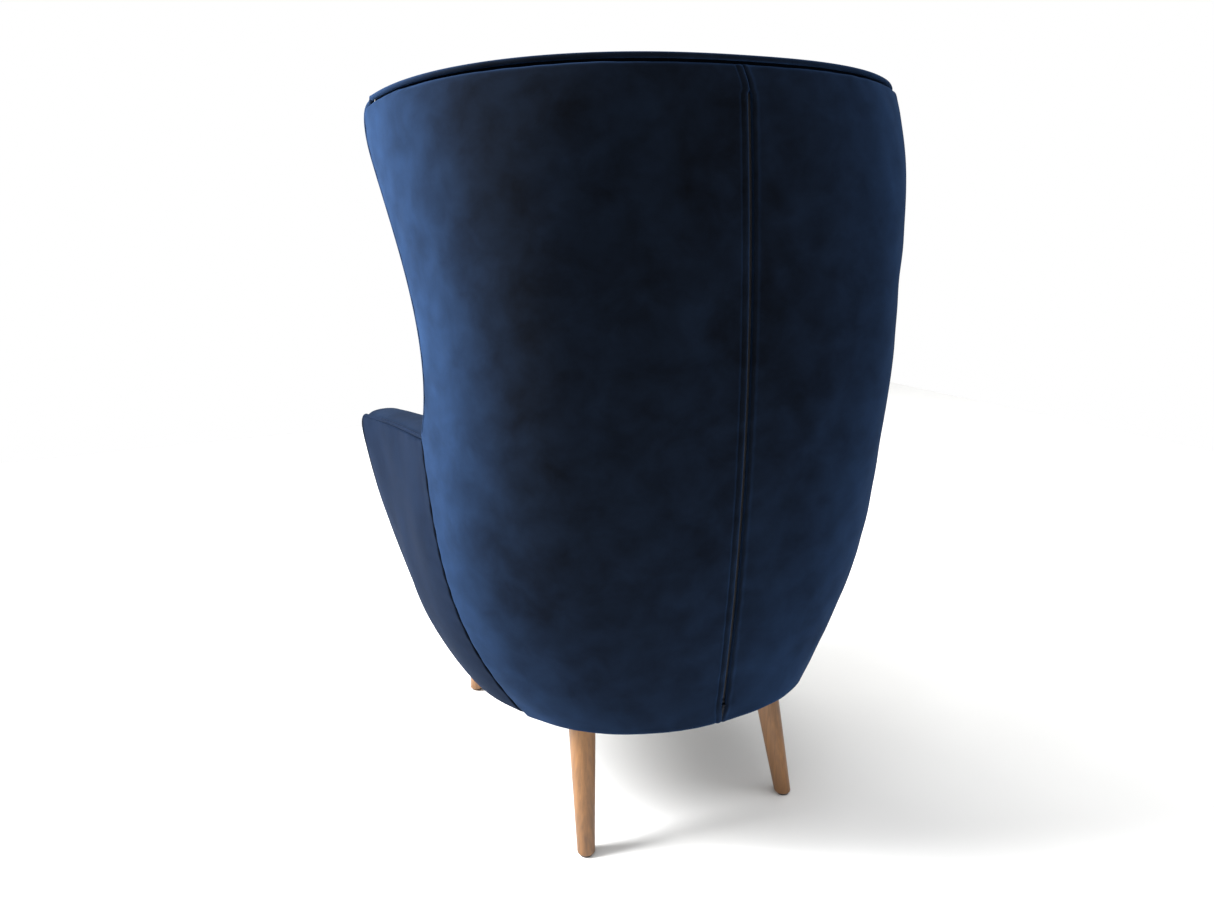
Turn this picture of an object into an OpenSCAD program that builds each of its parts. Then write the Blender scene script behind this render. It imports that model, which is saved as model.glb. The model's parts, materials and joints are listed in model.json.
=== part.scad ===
// Wing-back lounge armchair: an upholstered shell on a timber seat base with four splayed legs.
// The chair faces -Y, its back is towards +Y and +X is the sitter's left. Z = 0 is the floor.

/* [Shell outline, handles of smooth curves from the hem level to the top level] */
// Half width of the outer shell
half_width = [261, 423, 253, 349, 366]; // [240:1:440]
// Squareness of the back corners in plan, 2 is an ellipse
corner_power = [2.2, 2.55, 5.2, 2.3]; // [2:0.05:6]
// Outward flare of the sides, in mm per metre squared of run
side_flare = [-720, 350, 740, 0]; // [-800:10:900]
// Y of the outer back's centre at the hem level
back_low_y = 315; // [300:1:325]
// Y of the outer back's centre at the top level
back_high_y = 353; // [340:1:365]
// Bulge of the outer back's centre line past the straight line between those two
back_bulge = 33; // [25:1:45]
// Y of the widest line of the shell
widest_y = -30; // [-50:1:-10]

/* [Shell edges] */
// Y of the seam between the back and the arm, hem to waist
seam_y = [179, 160, 79]; // [60:1:200]
// Y of the wing's front edge, waist to top
wing_y = [79, 166, 25, 6]; // [0:1:200]
// Y of the arm's front edge, hem to arm top
arm_front_y = [-235, -291, -332]; // [-350:1:-210]
// Height of the top edge above the back's centre
top_z = 1037; // [1010:1:1045]
// Fall of the top edge towards the wings
top_fall = 0.066; // [0:0.002:0.1]
// Radius of the wing's upper corner
wing_corner_r = 68; // [40:1:90]
// Height where the wing meets the arm
waist_z = 596; // [570:1:620]
// Height of the arm at its front
arm_front_z = 561; // [540:1:580]
// Radius of the arm's upper front corner
arm_corner_r = 50; // [30:1:60]
// Height of the lower edge: back centre, side, front
hem_z = [215, 192, 205]; // [185:1:225]

/* [Inside of the shell] */
// Thickness of the arms and wings
wall = 62; // [58:1:75]
// Y of the inner back's face, from the hem level to the top level
inner_back_y = [131, 166, 191, 231, 281]; // [120:1:300]
// Height of the top of the seat deck
deck_z = 342; // [330:1:355]

/* [Seat cushion] */
// Thickness of the loose cushion
cushion_h = 122; // [100:1:140]
// Y of the cushion's front
cushion_front_y = -367; // [-380:1:-340]
// Clearance round the cushion
cushion_gap = 3; // [2:0.5:8]

/* [Legs] */
// Radius of a leg at the floor
foot_r = 12.5; // [10:0.5:15]
// Radius of a leg where it meets the seat base
leg_top_r = 20; // [16:0.5:24]
// Rear leg: X and Y at the floor
rear_foot = [166, 231]; // [150:1:250]
// Rear leg: X and Y at the underside of the base
rear_hip = [150, 187]; // [130:1:210]
// Front leg: X and Y at the floor
front_foot = [178, -292]; // [-300:1:200]
// Front leg: X and Y at the underside of the base
front_hip = [165, -249]; // [-260:1:180]

/* [Hidden] */

// Levels that the outline's handles run between
low_z = 190;
high_z = 1050;
// Nominal run from the back's centre to the wing edge, and from the hem to the top
back_run = 520;
back_rise = 830;
// Nominal run and rise of an arm panel
arm_run = 410;
arm_rise = 375;
// Degrees of plan angle per mm of straight side
side_rate = 60 / 350;
// Part of the inner depth at which the inner back turns into the inner side
inner_turn = 0.8;
centre_back = 351;

// Depths below the outer face, and below the inner face where they are negative
cover_t = 2.5;
wadding_in = 8.2;
wadding_out = 14;
frame_in = 17;
frame_out = 35;
foam_in = 39;
inner_cover_in = -2.8;
back_foam_t = 57;
webbing_in = -63;
webbing_t = 2.5;

// Distances from the free edge of the shell
border_t = 3;
piping_r = 3.5;
piping_back = 12;
foam_back = 8;

// Back curve: radius and centre of its arc
back_chord = norm([high_z - low_z, back_high_y - back_low_y]) / 2;
arc_r = (back_chord * back_chord + back_bulge * back_bulge) / (2 * back_bulge);
chord_tilt = atan2(back_high_y - back_low_y, high_z - low_z);
arc_y = (back_low_y + back_high_y) / 2 + cos(chord_tilt) * (back_bulge - arc_r);
arc_z = (low_z + high_z) / 2 - sin(chord_tilt) * (back_bulge - arc_r);

// Seat base
rail_bottom = 212;
rail_top = 300;
rail_t = 20;
side_rail_x = 206;
front_rail_y = -271;
rear_rail_y = 205;
foot_rail_y = 225.5;
block_h = 44;
plate_z = 208;
plate_t = 3;
plate_w = 44;
screw_apart = 18;
screw_r = 2;
screw_head_h = 2;
bolt_r = 4;
bolt_low_z = 168;
bolt_l = 88;
bolt_cross_z = 220;
cloth_t = 0.8;
// How far the dust cover stays inside the shell's outer face
hem_turn = 20;

// Springs
wire_r = 1.8;
spring_z = rail_top + 6;
spring_loop_r = 17;
spring_half = 22;
spring_loops = 15;
spring_x = [-135, -45, 45, 135];

// Zip: half gap between the covers, depth and reach along the back's arc
zip_gap = 2.6;
coil_r = 1.5;
coil_depth = 6.4;
zip_from_z = 228;
zip_to_z = 1000;
slider_z = 240;
slider_l = 14;
slider_w = 4.4;
pin_r = 0.7;
pin_gap = 0.05;

// ---------- curves ----------

// Point at t on the smooth curve with handles h
function curve(h, t) =
  len(h) == 1 ? h[0]
  : curve([for (i = [0:len(h) - 2]) h[i] * (1 - t) + h[i + 1] * t], t);

function steps(from, to, count) = [for (i = [0:count]) from + (to - from) * i / count];
function unit(v) = v / norm(v);
function level(z) = (z - low_z) / (high_z - low_z);
function back_y(z) = arc_y + sqrt(arc_r * arc_r - (z - arc_z) * (z - arc_z));

// Plan point at fraction s of the way, by angle, from the back's centre to y_edge: a squared oval
// behind the widest line and a flared side in front of it
function plan_point(w, depth, power, flare, y_edge, s) =
  let (
    angle = s * end_angle(w, depth, power, y_edge),
    ahead = (angle - 90) / side_rate,
    r = pow(pow(max(sin(angle), 0) / w, power) + pow(max(cos(angle), 0) / depth, power), -1 / power)
  )
  angle <= 90
    ? [r * sin(angle), widest_y + r * cos(angle)]
    : [w + flare * ahead * ahead / 1e6, widest_y - ahead];

function end_angle(w, depth, power, y_edge) =
  let (run = y_edge - widest_y)
  run > 0 ? atan2(w * pow(1 - pow(run / depth, power), 1 / power), run) : 90 - run * side_rate;

function outer_plan(z, y_edge, s) =
  plan_point(curve(half_width, level(z)), back_y(z) - widest_y, curve(corner_power, level(z)),
             curve(side_flare, level(z)), y_edge, s);

// Y where the inner back turns into the inner side, never further back than the inner face allows
function inner_edge_y(z, y_edge) =
  min(y_edge, widest_y + inner_turn * (curve(inner_back_y, level(z)) - widest_y));

function inner_plan(z, y_edge, s) =
  plan_point(curve(half_width, level(z)) - wall, curve(inner_back_y, level(z)) - widest_y,
             curve(corner_power, level(z)), curve(side_flare, level(z)), y_edge, s);

function hem_line(y) = curve(hem_z, min(max((centre_back - y) / 600, 0), 1));
function top_line(y) = top_z - top_fall * (centre_back - y);

// How far a rounded corner of radius r pulls an edge back, over mm above where the corner starts
function corner_pull(over, r) =
  over <= 0 ? 0 : r - sqrt(max(r * r - over * over, 0));

function arm_height(z) = (z - low_z) / (waist_z - low_z);
wing_top_z = top_line(wing_y[3]);

function back_edge_y(z) =
  z < waist_z
    ? seam_at(z)
    : curve(wing_y, (z - waist_z) / (wing_top_z - waist_z))
      + corner_pull(min(z - wing_top_z, 0) + wing_corner_r, wing_corner_r);

// Height of a point of the back, found by repeating because the hem and top lines follow y
function back_z(s, v, z, left) =
  left == 0 ? z
  : let (y = outer_plan(z, back_edge_y(z), s)[1])
    back_z(s, v, hem_line(y) + v * (top_line(y) - hem_line(y)), left - 1);

function to_3d(xy, z, side) = [xy[0] * side, xy[1], z];

// Point of the back at fraction s from the centre, negative on the right, fraction v up, and depth t
function back_point(s, v, t) =
  let (
    z = back_z(abs(s), v, low_z + v * (top_z - low_z), 3),
    side = s < 0 ? -1 : 1
  )
  between(to_3d(outer_plan(z, back_edge_y(z), abs(s)), z, side),
          to_3d(inner_plan(z, inner_edge_y(z, back_edge_y(z)), abs(s)), z, side), t);

function seam_at(z) = curve(seam_y, arm_height(z));

function arm_edge_y(z, s, top, rear) =
  let (front = curve(arm_front_y, arm_height(z)) + corner_pull(z - top + arm_corner_r, arm_corner_r))
  rear + (front - rear) * s;

function arm_z(s, v, z, left) =
  left == 0 ? z
  : let (
      top = waist_z + (arm_front_z - waist_z) * s,
      y = arm_edge_y(z, s, top, seam_at(z))
    )
    arm_z(s, v, hem_line(y) + v * (top - hem_line(y)), left - 1);

// Same for the left arm, from the seam at s = 0 to the front edge at s = 1
function arm_point(s, v, t) =
  let (
    z = arm_z(s, v, low_z + v * (arm_front_z - low_z), 3),
    top = waist_z + (arm_front_z - waist_z) * s,
    y = arm_edge_y(z, s, top, seam_at(z)),
    y_in = arm_edge_y(z, s, top, inner_edge_y(z, seam_at(z)))
  )
  between(to_3d(outer_plan(z, y, 1), z, 1), to_3d(inner_plan(z, y_in, 1), z, 1), t);

// Point at depth t under the outer point, or over the inner point where t is negative
function between(outer, inner, t) =
  t >= 0 ? outer + unit(inner - outer) * t : inner + unit(inner - outer) * t;

// Fraction s of the point of the back that is mm from the centre plane at fraction v up
function near_centre(mm, v) =
  let (
    z = back_z(0, v, low_z + v * (top_z - low_z), 3),
    depth = back_y(z) - widest_y
  )
  atan(mm / depth)
  / end_angle(curve(half_width, level(z)), depth, curve(corner_power, level(z)), back_edge_y(z));

function back_depth(s, v) = norm(back_point(s, v, -1) - back_point(s, v, 0)) + 1;

// ---------- solids from grids ----------

function flat(rows) = [for (row = rows) each row];
function split_quad(p, q, r, s) = [[p, q, r], [p, r, s]];

// Closed slab between two grids of the same size, the first on the outside
module slab(outside, inside) {
  rows = len(outside);
  cols = len(outside[0]);
  far = rows * cols;
  function at(i, j) = i * cols + j;
  faces = [
    for (i = [0:rows - 2], j = [0:cols - 2])
      each concat(
        split_quad(at(i, j), at(i, j + 1), at(i + 1, j + 1), at(i + 1, j)),
        split_quad(far + at(i, j), far + at(i + 1, j), far + at(i + 1, j + 1), far + at(i, j + 1))),
    for (j = [0:cols - 2])
      each concat(
        split_quad(at(0, j + 1), at(0, j), far + at(0, j), far + at(0, j + 1)),
        split_quad(at(rows - 1, j), at(rows - 1, j + 1), far + at(rows - 1, j + 1),
                   far + at(rows - 1, j))),
    for (i = [0:rows - 2])
      each concat(
        split_quad(at(i + 1, cols - 1), at(i, cols - 1), far + at(i, cols - 1),
                   far + at(i + 1, cols - 1)),
        split_quad(at(i, 0), at(i + 1, 0), far + at(i + 1, 0), far + at(i, 0)))
  ];
  polyhedron(concat(flat(outside), flat(inside)), faces);
}

// Closed bar through rings of points of the same count
module bar(rings) {
  count = len(rings);
  sides = len(rings[0]);
  faces = concat(
    [for (i = [0:count - 2], k = [0:sides - 1])
      each split_quad(i * sides + k, (i + 1) * sides + k,
                      (i + 1) * sides + (k + 1) % sides, i * sides + (k + 1) % sides)],
    [for (k = [1:sides - 2]) [0, k, k + 1]],
    [for (k = [1:sides - 2]) [(count - 1) * sides, (count - 1) * sides + k + 1,
                              (count - 1) * sides + k]]
  );
  polyhedron(flat(rings), faces);
}

// Round bar of radius r along path, with one face of each ring towards out
module round_bar(path, out, r) {
  last = len(path) - 1;
  bar([
    for (i = [0:last])
      let (
        ahead = unit(path[min(i + 1, last)] - path[max(i - 1, 0)]),
        across = unit(cross(ahead, out[i])),
        up = cross(across, ahead)
      )
      [for (a = [0:60:300]) path[i] + r * (cos(a) * up + sin(a) * across)]
  ]);
}

// Part of the back between two depths
module back_layer(s, v, t_out, t_in) {
  slab([for (b = v) [for (a = s) back_point(a, b, t_out)]],
       [for (b = v) [for (a = s) back_point(a, b, t_in)]]);
}

module arm_layer(s, v, t_out, t_in) {
  slab([for (b = v) [for (a = s) arm_point(a, b, t_out)]],
       [for (b = v) [for (a = s) arm_point(a, b, t_in)]]);
}

module right_side() {
  mirror([1, 0, 0]) children();
}

// ---------- limits of the layers as fractions ----------

function back_s(mm) = mm / back_run;
function back_v(mm) = mm / back_rise;
function arm_s(mm) = mm / arm_run;
function arm_v(mm) = mm / arm_rise;

cover_s = 1 - back_s(piping_back);
cover_v = 1 - back_v(piping_back);
core_s = 1 - back_s(foam_back);
core_v = 1 - back_v(foam_back);
wing_s = 0.64;
webbing_s = wing_s * 13 / 14;
deck_v = (deck_z + 4 - low_z) / (top_z - low_z) - 0.01;
arm_deck_v = (deck_z + 4 - low_z) / (waist_z - low_z);
// The arm's border stops above the leg plates
arm_low_v = 0.05;
// Rows up the back, closer together where the wing's corner is round
corner_v = 0.9;
corner_rows = 5;
function rows(from, to) =
  concat(steps(from, corner_v, 16), [for (i = [1:corner_rows]) corner_v + (to - corner_v) * i / corner_rows]);
waist_v = (waist_z - hem_line(wing_y[0])) / (top_line(wing_y[0]) - hem_line(wing_y[0]));

// ---------- seat base ----------

module rail(size, place) {
  color("burlywood") translate(place) cube(size);
}

module front_rail() {
  rail([370, rail_t, rail_top - rail_bottom], [-185, front_rail_y, rail_bottom]);
}

// Rail with the holes of the bolts that join the seat base to the shell
module bolted_rail(size, place) {
  color("burlywood") difference() {
    translate(place) cube(size);
    for (x = bolt_x, z = bolt_z)
      translate([x, place[1] - 1, z]) rotate([-90, 0, 0]) cylinder(r = bolt_r, h = rail_t + 2, $fn = 32);
  }
}

module rear_rail() {
  bolted_rail([330, rail_t, rail_top - rail_bottom], [-165, rear_rail_y, rail_bottom]);
}

module side_rail_left() {
  rail([rail_t, 370, rail_top - rail_bottom], [side_rail_x - rail_t, -224, rail_bottom]);
}

module side_rail_right() {
  right_side() side_rail_left();
}

// Everything that follows one leg's own axis, at each of the four corners
module at_corners() {
  for (m = [0, 1]) mirror([m, 0, 0]) {
    children(0);
    children(1);
  }
}

// Centre of a leg at height z
function hip_at(foot, hip, z) = foot + (hip - foot) * z / (low_z + 10);

// Upright line of one leg's hanger bolt, which crosses the leg's own line above the plate
module bolt_line(foot, hip, r) {
  centre = hip_at(foot, hip, bolt_cross_z);
  translate([centre[0], centre[1], bolt_low_z]) cylinder(r = r, h = bolt_l, $fn = 32);
}

module block(low, foot, hip) {
  difference() {
    translate([low[0], low[1], rail_bottom]) cube([low[2], low[3], block_h]);
    bolt_line(foot, hip, bolt_r);
  }
}

front_block = [110, front_rail_y + rail_t, 76, 62];
rear_block = [110, 146, 76, 59];

module corner_blocks() {
  color("tan") at_corners() {
    block(front_block, front_foot, front_hip);
    block(rear_block, rear_foot, rear_hip);
  }
}

// Holes for the bolts through anything flat at the base's underside
module bolt_holes(r) {
  at_corners() {
    bolt_line(front_foot, front_hip, r);
    bolt_line(rear_foot, rear_hip, r);
  }
}

module plate(foot, hip) {
  centre = hip_at(foot, hip, plate_z);
  translate([centre[0] - plate_w / 2, centre[1] - plate_w / 2, plate_z]) difference() {
    cube([plate_w, plate_w, plate_t]);
    for (x = [-1, 1], y = [-1, 1])
      translate([plate_w / 2 + x * screw_apart, plate_w / 2 + y * screw_apart, -1])
        cylinder(r = screw_r, h = plate_t + 2, $fn = 24);
  }
}

module leg_plates() {
  color("silver") difference() {
    at_corners() {
      plate(front_foot, front_hip);
      plate(rear_foot, rear_hip);
    }
    bolt_holes(bolt_r);
  }
}

module screws(foot, hip) {
  centre = hip_at(foot, hip, plate_z);
  for (x = [-1, 1], y = [-1, 1])
    translate([centre[0] + x * screw_apart, centre[1] + y * screw_apart, plate_z - screw_head_h]) {
      cylinder(r = 2 * screw_r, h = screw_head_h, $fn = 24);
      cylinder(r = screw_r, h = screw_head_h + plate_t, $fn = 24);
    }
}

module plate_screws() {
  color("gray") at_corners() {
    screws(front_foot, front_hip);
    screws(rear_foot, rear_hip);
  }
}

module hanger_bolts() {
  color("gray") at_corners() {
    bolt_line(front_foot, front_hip, bolt_r);
    bolt_line(rear_foot, rear_hip, bolt_r);
  }
}

glide_h = 3;

// Tapered round leg on its slant, cut level at both ends
module leg(foot, hip) {
  function ring(z) =
    let (
      centre = hip_at(foot, hip, z),
      r = foot_r + (leg_top_r - foot_r) * z / (low_z + 10)
    )
    [for (a = [0:7.5:359]) [centre[0] + r * cos(a), centre[1] + r * sin(a), z]];
  color("peru") bar([ring(glide_h), ring(plate_z)]);
}

module rear_leg_left() {
  leg(rear_foot, rear_hip);
}

module rear_leg_right() {
  right_side() rear_leg_left();
}

module front_leg_left() {
  leg(front_foot, front_hip);
}

module front_leg_right() {
  right_side() front_leg_left();
}

module glides() {
  color("dimgray") at_corners() {
    translate([front_foot[0], front_foot[1], 0]) cylinder(r = 9, h = glide_h, $fn = 48);
    translate([rear_foot[0], rear_foot[1], 0]) cylinder(r = 9, h = glide_h, $fn = 48);
  }
}

module dust_cover() {
  side = [
    for (a = steps(0, 1, 14))
      let (p = outer_plan(rail_bottom, -231, a))
      p - unit(p - [0, -69]) * hem_turn
  ];
  left = concat(side, [[181, -269]]);
  color("black") difference() {
    translate([0, 0, rail_bottom - cloth_t - 0.1]) linear_extrude(cloth_t)
      polygon(concat(left, [for (i = [len(left) - 1:-1:1]) [-left[i][0], left[i][1]]]));
    bolt_holes(bolt_r + 2);
  }
}

// One sinuous spring: straight bars across and half loops at alternate ends
module spring() {
  start = front_rail_y + rail_t / 2;
  for (i = [0:spring_loops - 1]) translate([0, start + i * 2 * spring_loop_r, 0]) {
    translate([-spring_half, 0, 0]) rotate([0, 90, 0])
      cylinder(r = wire_r, h = 2 * spring_half, $fn = 16);
    if (i < spring_loops - 1)
      translate([i % 2 == 0 ? spring_half : -spring_half, spring_loop_r, 0])
        rotate([0, 0, i % 2 == 0 ? -90 : 90])
          rotate_extrude(angle = 180, $fn = 48) translate([spring_loop_r, 0]) circle(r = wire_r, $fn = 16);
  }
}

module seat_springs() {
  color("gray") for (x = spring_x) translate([x, 0, spring_z]) spring();
}

// Clips that hold each end bar down on its rail
module spring_clips() {
  reach = 2 * spring_loop_r * (spring_loops - 1);
  color("silver") for (x = spring_x, y = [0, reach])
    translate([x - 10, front_rail_y + rail_t / 2 + y - 4, rail_top])
      difference() {
        cube([20, 8, 11]);
        translate([-1, 4, 6]) rotate([0, 90, 0]) cylinder(r = wire_r, h = 22, $fn = 16);
      }
}

module seat_deck() {
  color("gainsboro") translate([0, 0, spring_z + 6]) linear_extrude(deck_z - spring_z - 6)
    polygon([[-180, -271], [180, -271], [235, -199], [243, 51], [225, 111], [130, 131], [-130, 131],
             [-225, 111], [-243, 51], [-235, -199]]);
}

// ---------- shell frame ----------

module top_rail() {
  color("burlywood") back_layer(steps(-0.74, 0.74, 36), steps(0.92, 0.975, 2), frame_in, frame_out);
}

module lumbar_rail() {
  color("burlywood") back_layer(steps(-0.58, 0.58, 28), steps(0.46, 0.53, 2), frame_in, frame_out);
}

module back_post_left() {
  color("burlywood") back_layer(steps(0.59, 0.68, 4), steps(0.03, 0.915, 16), frame_in, frame_out);
}

module back_post_right() {
  right_side() back_post_left();
}

module wing_former_left() {
  color("burlywood") back_layer(steps(0.87, 0.975, 2), steps(waist_v + 0.02, 0.92, 8), frame_in, frame_out);
}

module wing_former_right() {
  right_side() wing_former_left();
}

module arm_rail_left() {
  color("burlywood") arm_layer(steps(0.02, 0.94, 8), steps(0.86, 0.97, 1), frame_in, frame_out);
}

module arm_rail_right() {
  right_side() arm_rail_left();
}

module arm_post_left() {
  color("burlywood") arm_layer(steps(0.84, 0.95, 3), steps(0.05, 0.85, 6), frame_in, frame_out);
}

module arm_post_right() {
  right_side() arm_post_left();
}

// Bottom rail of the shell, bolted to the rear rail of the seat base
module back_foot_rail() {
  bolted_rail([300, rail_t, 78], [-150, foot_rail_y, rail_bottom + 2]);
}

module back_webbing() {
  color("gray") for (v = [0.2, 0.34, 0.56, 0.68])
    back_layer(steps(-webbing_s, webbing_s, 26), [v, v + 0.07], webbing_in, webbing_in + webbing_t);
}

// Bolts through the rear rail and the shell's bottom rail, reached through the zip
bolt_x = [-95, 95];
bolt_z = [236, 276];
head_h = 5;
thread_out = 4;

module back_bolts() {
  reach = foot_rail_y + rail_t - rear_rail_y + thread_out;
  color("gray") for (x = bolt_x, z = bolt_z) translate([x, rear_rail_y - head_h, z]) rotate([-90, 0, 0]) {
    cylinder(r = 7, h = head_h, $fn = 6);
    cylinder(r = bolt_r, h = head_h + reach, $fn = 32);
  }
}

// ---------- padding ----------

module back_wadding() {
  color("whitesmoke")
    back_layer(steps(-cover_s, cover_s, 24), rows(0.004, cover_v), wadding_in, wadding_out);
}

module arm_wadding_left() {
  color("whitesmoke")
    arm_layer(steps(0.01, 1 - arm_s(piping_back), 6), steps(0.004, 1 - arm_v(piping_back), 6),
              wadding_in, wadding_out);
}

module arm_wadding_right() {
  right_side() arm_wadding_left();
}

// Foam of the inner back, thick below and thinner where the shell closes in at the top
module inner_back_foam() {
  s = steps(-wing_s, wing_s, 28);
  v = rows(deck_v, core_v);
  function back_of(a, b) = -min(back_foam_t, back_depth(a, b) - foam_in);
  color("khaki")
    slab([for (b = v) [for (a = s) back_point(a, b, back_of(a, b))]],
         [for (b = v) [for (a = s) back_point(a, b, inner_cover_in)]]);
}

module wing_foam_left() {
  color("khaki") back_layer(steps(wing_s + 0.009, core_s, 6), rows(deck_v, core_v), foam_in, inner_cover_in);
}

module wing_foam_right() {
  right_side() wing_foam_left();
}

module arm_foam_left() {
  color("khaki")
    arm_layer(steps(0.01, 1 - arm_s(foam_back), 6), steps(arm_deck_v, 1 - arm_v(foam_back), 4),
              foam_in, inner_cover_in);
}

module arm_foam_right() {
  right_side() arm_foam_left();
}

// Front of the seat between the arms, leaning forward as it rises
border_low = [-279, 208];
border_high = [-313, 338];

module front_border(t_front, t_back) {
  lean = unit([border_high[1] - border_low[1], border_low[0] - border_high[0]]);
  function at(u, v, t) =
    let (z = border_low[1] + (border_high[1] - border_low[1]) * v)
    [u * (188 + 52 * v), border_low[0] + (border_high[0] - border_low[0]) * v + lean[0] * t, z + lean[1] * t];
  u = steps(1, -1, 2);
  v = steps(0, 1, 4);
  slab([for (b = v) [for (a = u) at(a, b, t_front)]], [for (b = v) [for (a = u) at(a, b, t_back)]]);
}

module front_border_pad() {
  color("khaki") front_border(2.8, 7);
}

// ---------- covers ----------

module outer_back_left() {
  function row(v, t) = [for (s = steps(near_centre(zip_gap, v), cover_s, 12)) back_point(s, v, t)];
  color("navy") slab([for (v = rows(0, cover_v)) row(v, 0)], [for (v = rows(0, cover_v)) row(v, cover_t)]);
}

module outer_back_right() {
  right_side() outer_back_left();
}

module outer_arm_left() {
  color("navy")
    arm_layer(steps(0.006, 1 - arm_s(piping_back), 6), steps(0, 1 - arm_v(piping_back), 6), 0, cover_t);
}

module outer_arm_right() {
  right_side() outer_arm_left();
}

module inner_back_cover() {
  color("midnightblue") back_layer(steps(-wing_s, wing_s, 14), rows(deck_v, core_v), -cover_t, -0.01);
}

module inner_wing_left() {
  color("midnightblue") back_layer(steps(wing_s + 0.004, core_s, 6), rows(deck_v, core_v), -cover_t, -0.01);
}

module inner_wing_right() {
  right_side() inner_wing_left();
}

module inner_arm_left() {
  color("midnightblue")
    arm_layer(steps(0.01, 1 - arm_s(foam_back), 6), steps(arm_deck_v, 1 - arm_v(foam_back), 4),
              -cover_t, -0.01);
}

module inner_arm_right() {
  right_side() inner_arm_left();
}

// Border strip round the free edge, from the left waist over the top to the right waist
module edge_border() {
  wing_v = concat(steps(waist_v + 0.01, corner_v, 12), [for (i = [1:8]) corner_v + (1 - corner_v) * i / 8]);
  top_s = steps(1, -1, 30);
  route = concat(
    [for (v = wing_v) [1, v]],
    [for (i = [1:len(top_s) - 1]) [top_s[i], 1]],
    [for (i = [1:len(wing_v) - 1]) [-1, wing_v[len(wing_v) - 1 - i]]]
  );
  function inset(p) = [p[0] * (1 - back_s(border_t)), min(p[1], 1 - back_v(border_t))];
  color("navy") bar([
    for (p = route)
      let (q = inset(p))
      [back_point(p[0], p[1], 2 * piping_r + 0.5), back_point(q[0], q[1], 2 * piping_r + 0.5),
       back_point(q[0], q[1], -0.01), back_point(p[0], p[1], -0.01)]
  ]);
}

// Border strip along the top and down the front of an arm
module arm_border_left() {
  route = concat([for (s = steps(0.02, 1, 8)) [s, 1]], [for (v = steps(0.94, arm_low_v, 9)) [1, v]]);
  function inset(p) = [min(p[0], 1 - arm_s(border_t)), min(p[1], 1 - arm_v(border_t))];
  color("navy") bar([
    for (p = route)
      let (q = inset(p))
      [arm_point(p[0], p[1], 2 * piping_r + 0.5), arm_point(p[0], p[1], -0.01),
       arm_point(q[0], q[1], -0.01), arm_point(q[0], q[1], 2 * piping_r + 0.5)]
  ]);
}

module arm_border_right() {
  right_side() arm_border_left();
}

module front_border_cover() {
  color("navy") front_border(0, 2.5);
}

module edge_piping() {
  top_v = 1 - back_v(piping_r + 0.3);
  wing_v = concat(steps(waist_v + 0.012, corner_v, 12),
                  [for (i = [1:8]) corner_v + (top_v - corner_v) * i / 8]);
  edge_s = 1 - back_s(piping_r + 0.3);
  top_s = steps(edge_s, -edge_s, 34);
  route = concat(
    [for (v = wing_v) [edge_s, v]],
    [for (i = [1:len(top_s) - 1]) [top_s[i], top_v]],
    [for (i = [1:len(wing_v) - 1]) [-edge_s, wing_v[len(wing_v) - 1 - i]]]
  );
  color("navy") round_bar(
    [for (p = route) back_point(p[0], p[1], piping_r + 0.1)],
    [for (p = route) unit(back_point(p[0], p[1], 0) - back_point(p[0], p[1], -1))],
    piping_r
  );
}

module arm_piping_left() {
  edge_s = 1 - arm_s(piping_r + 0.3);
  edge_v = 1 - arm_v(piping_r + 0.3);
  route = concat([for (s = steps(0.02, edge_s, 8)) [s, edge_v]],
                 [for (v = steps(edge_v - 0.05, arm_low_v, 9)) [edge_s, v]]);
  round_bar(
    [for (p = route) arm_point(p[0], p[1], piping_r + 0.1)],
    [for (p = route) unit(arm_point(p[0], p[1], 0) - arm_point(p[0], p[1], -1))],
    piping_r
  );
}

module arm_pipings() {
  color("navy") {
    arm_piping_left();
    right_side() arm_piping_left();
  }
}

// ---------- zip ----------

function arc_angle(z) = asin((z - arc_z) / arc_r);

// Sweeps a profile, given as [distance from the arc's centre, x], along the back's arc
module along_back(from, to) {
  translate([0, arc_y, arc_z]) rotate([90, 0, 90]) rotate([0, 0, from])
    rotate_extrude(angle = to - from, $fn = 720) children();
}

module zip_tapes() {
  color("midnightblue") for (side = [-1, 1])
    along_back(arc_angle(zip_from_z), arc_angle(zip_to_z))
      translate([arc_r - coil_depth - 0.4, side > 0 ? coil_r + 0.2 : -14]) square([0.8, 14 - coil_r - 0.2]);
}

module zip_coil() {
  color("black") along_back(arc_angle(zip_from_z), arc_angle(zip_to_z))
    translate([arc_r - coil_depth, 0]) circle(r = coil_r, $fn = 20);
}

slider_angle = arc_angle(slider_z);
// Depth of the slider's faces and of the pull's pin below the outer face
slider_low = coil_depth - coil_r - 0.35;
slider_top = 3.4;
pin_depth = 1.8;
cheek = 0.9;

// Local frame at the slider: +Y outwards from the back's face, +Z up along its arc
module at_slider() {
  translate([0, arc_y, arc_z]) rotate([slider_angle, 0, 0]) translate([0, arc_r, 0]) children();
}

module zip_slider() {
  color("dimgray") at_slider() {
    translate([-slider_w / 2, -slider_low, -slider_l / 2])
      cube([slider_w, slider_low - slider_top, slider_l]);
    for (x = [-slider_w / 2, slider_w / 2 - cheek])
      translate([x, -slider_top, -1.5]) cube([cheek, slider_top - pin_depth + 1.1, 3]);
    translate([-slider_w / 2 + 0.1, -pin_depth, 0]) rotate([0, 90, 0])
      cylinder(r = pin_r, h = slider_w - 0.2, $fn = 24);
  }
}

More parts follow.
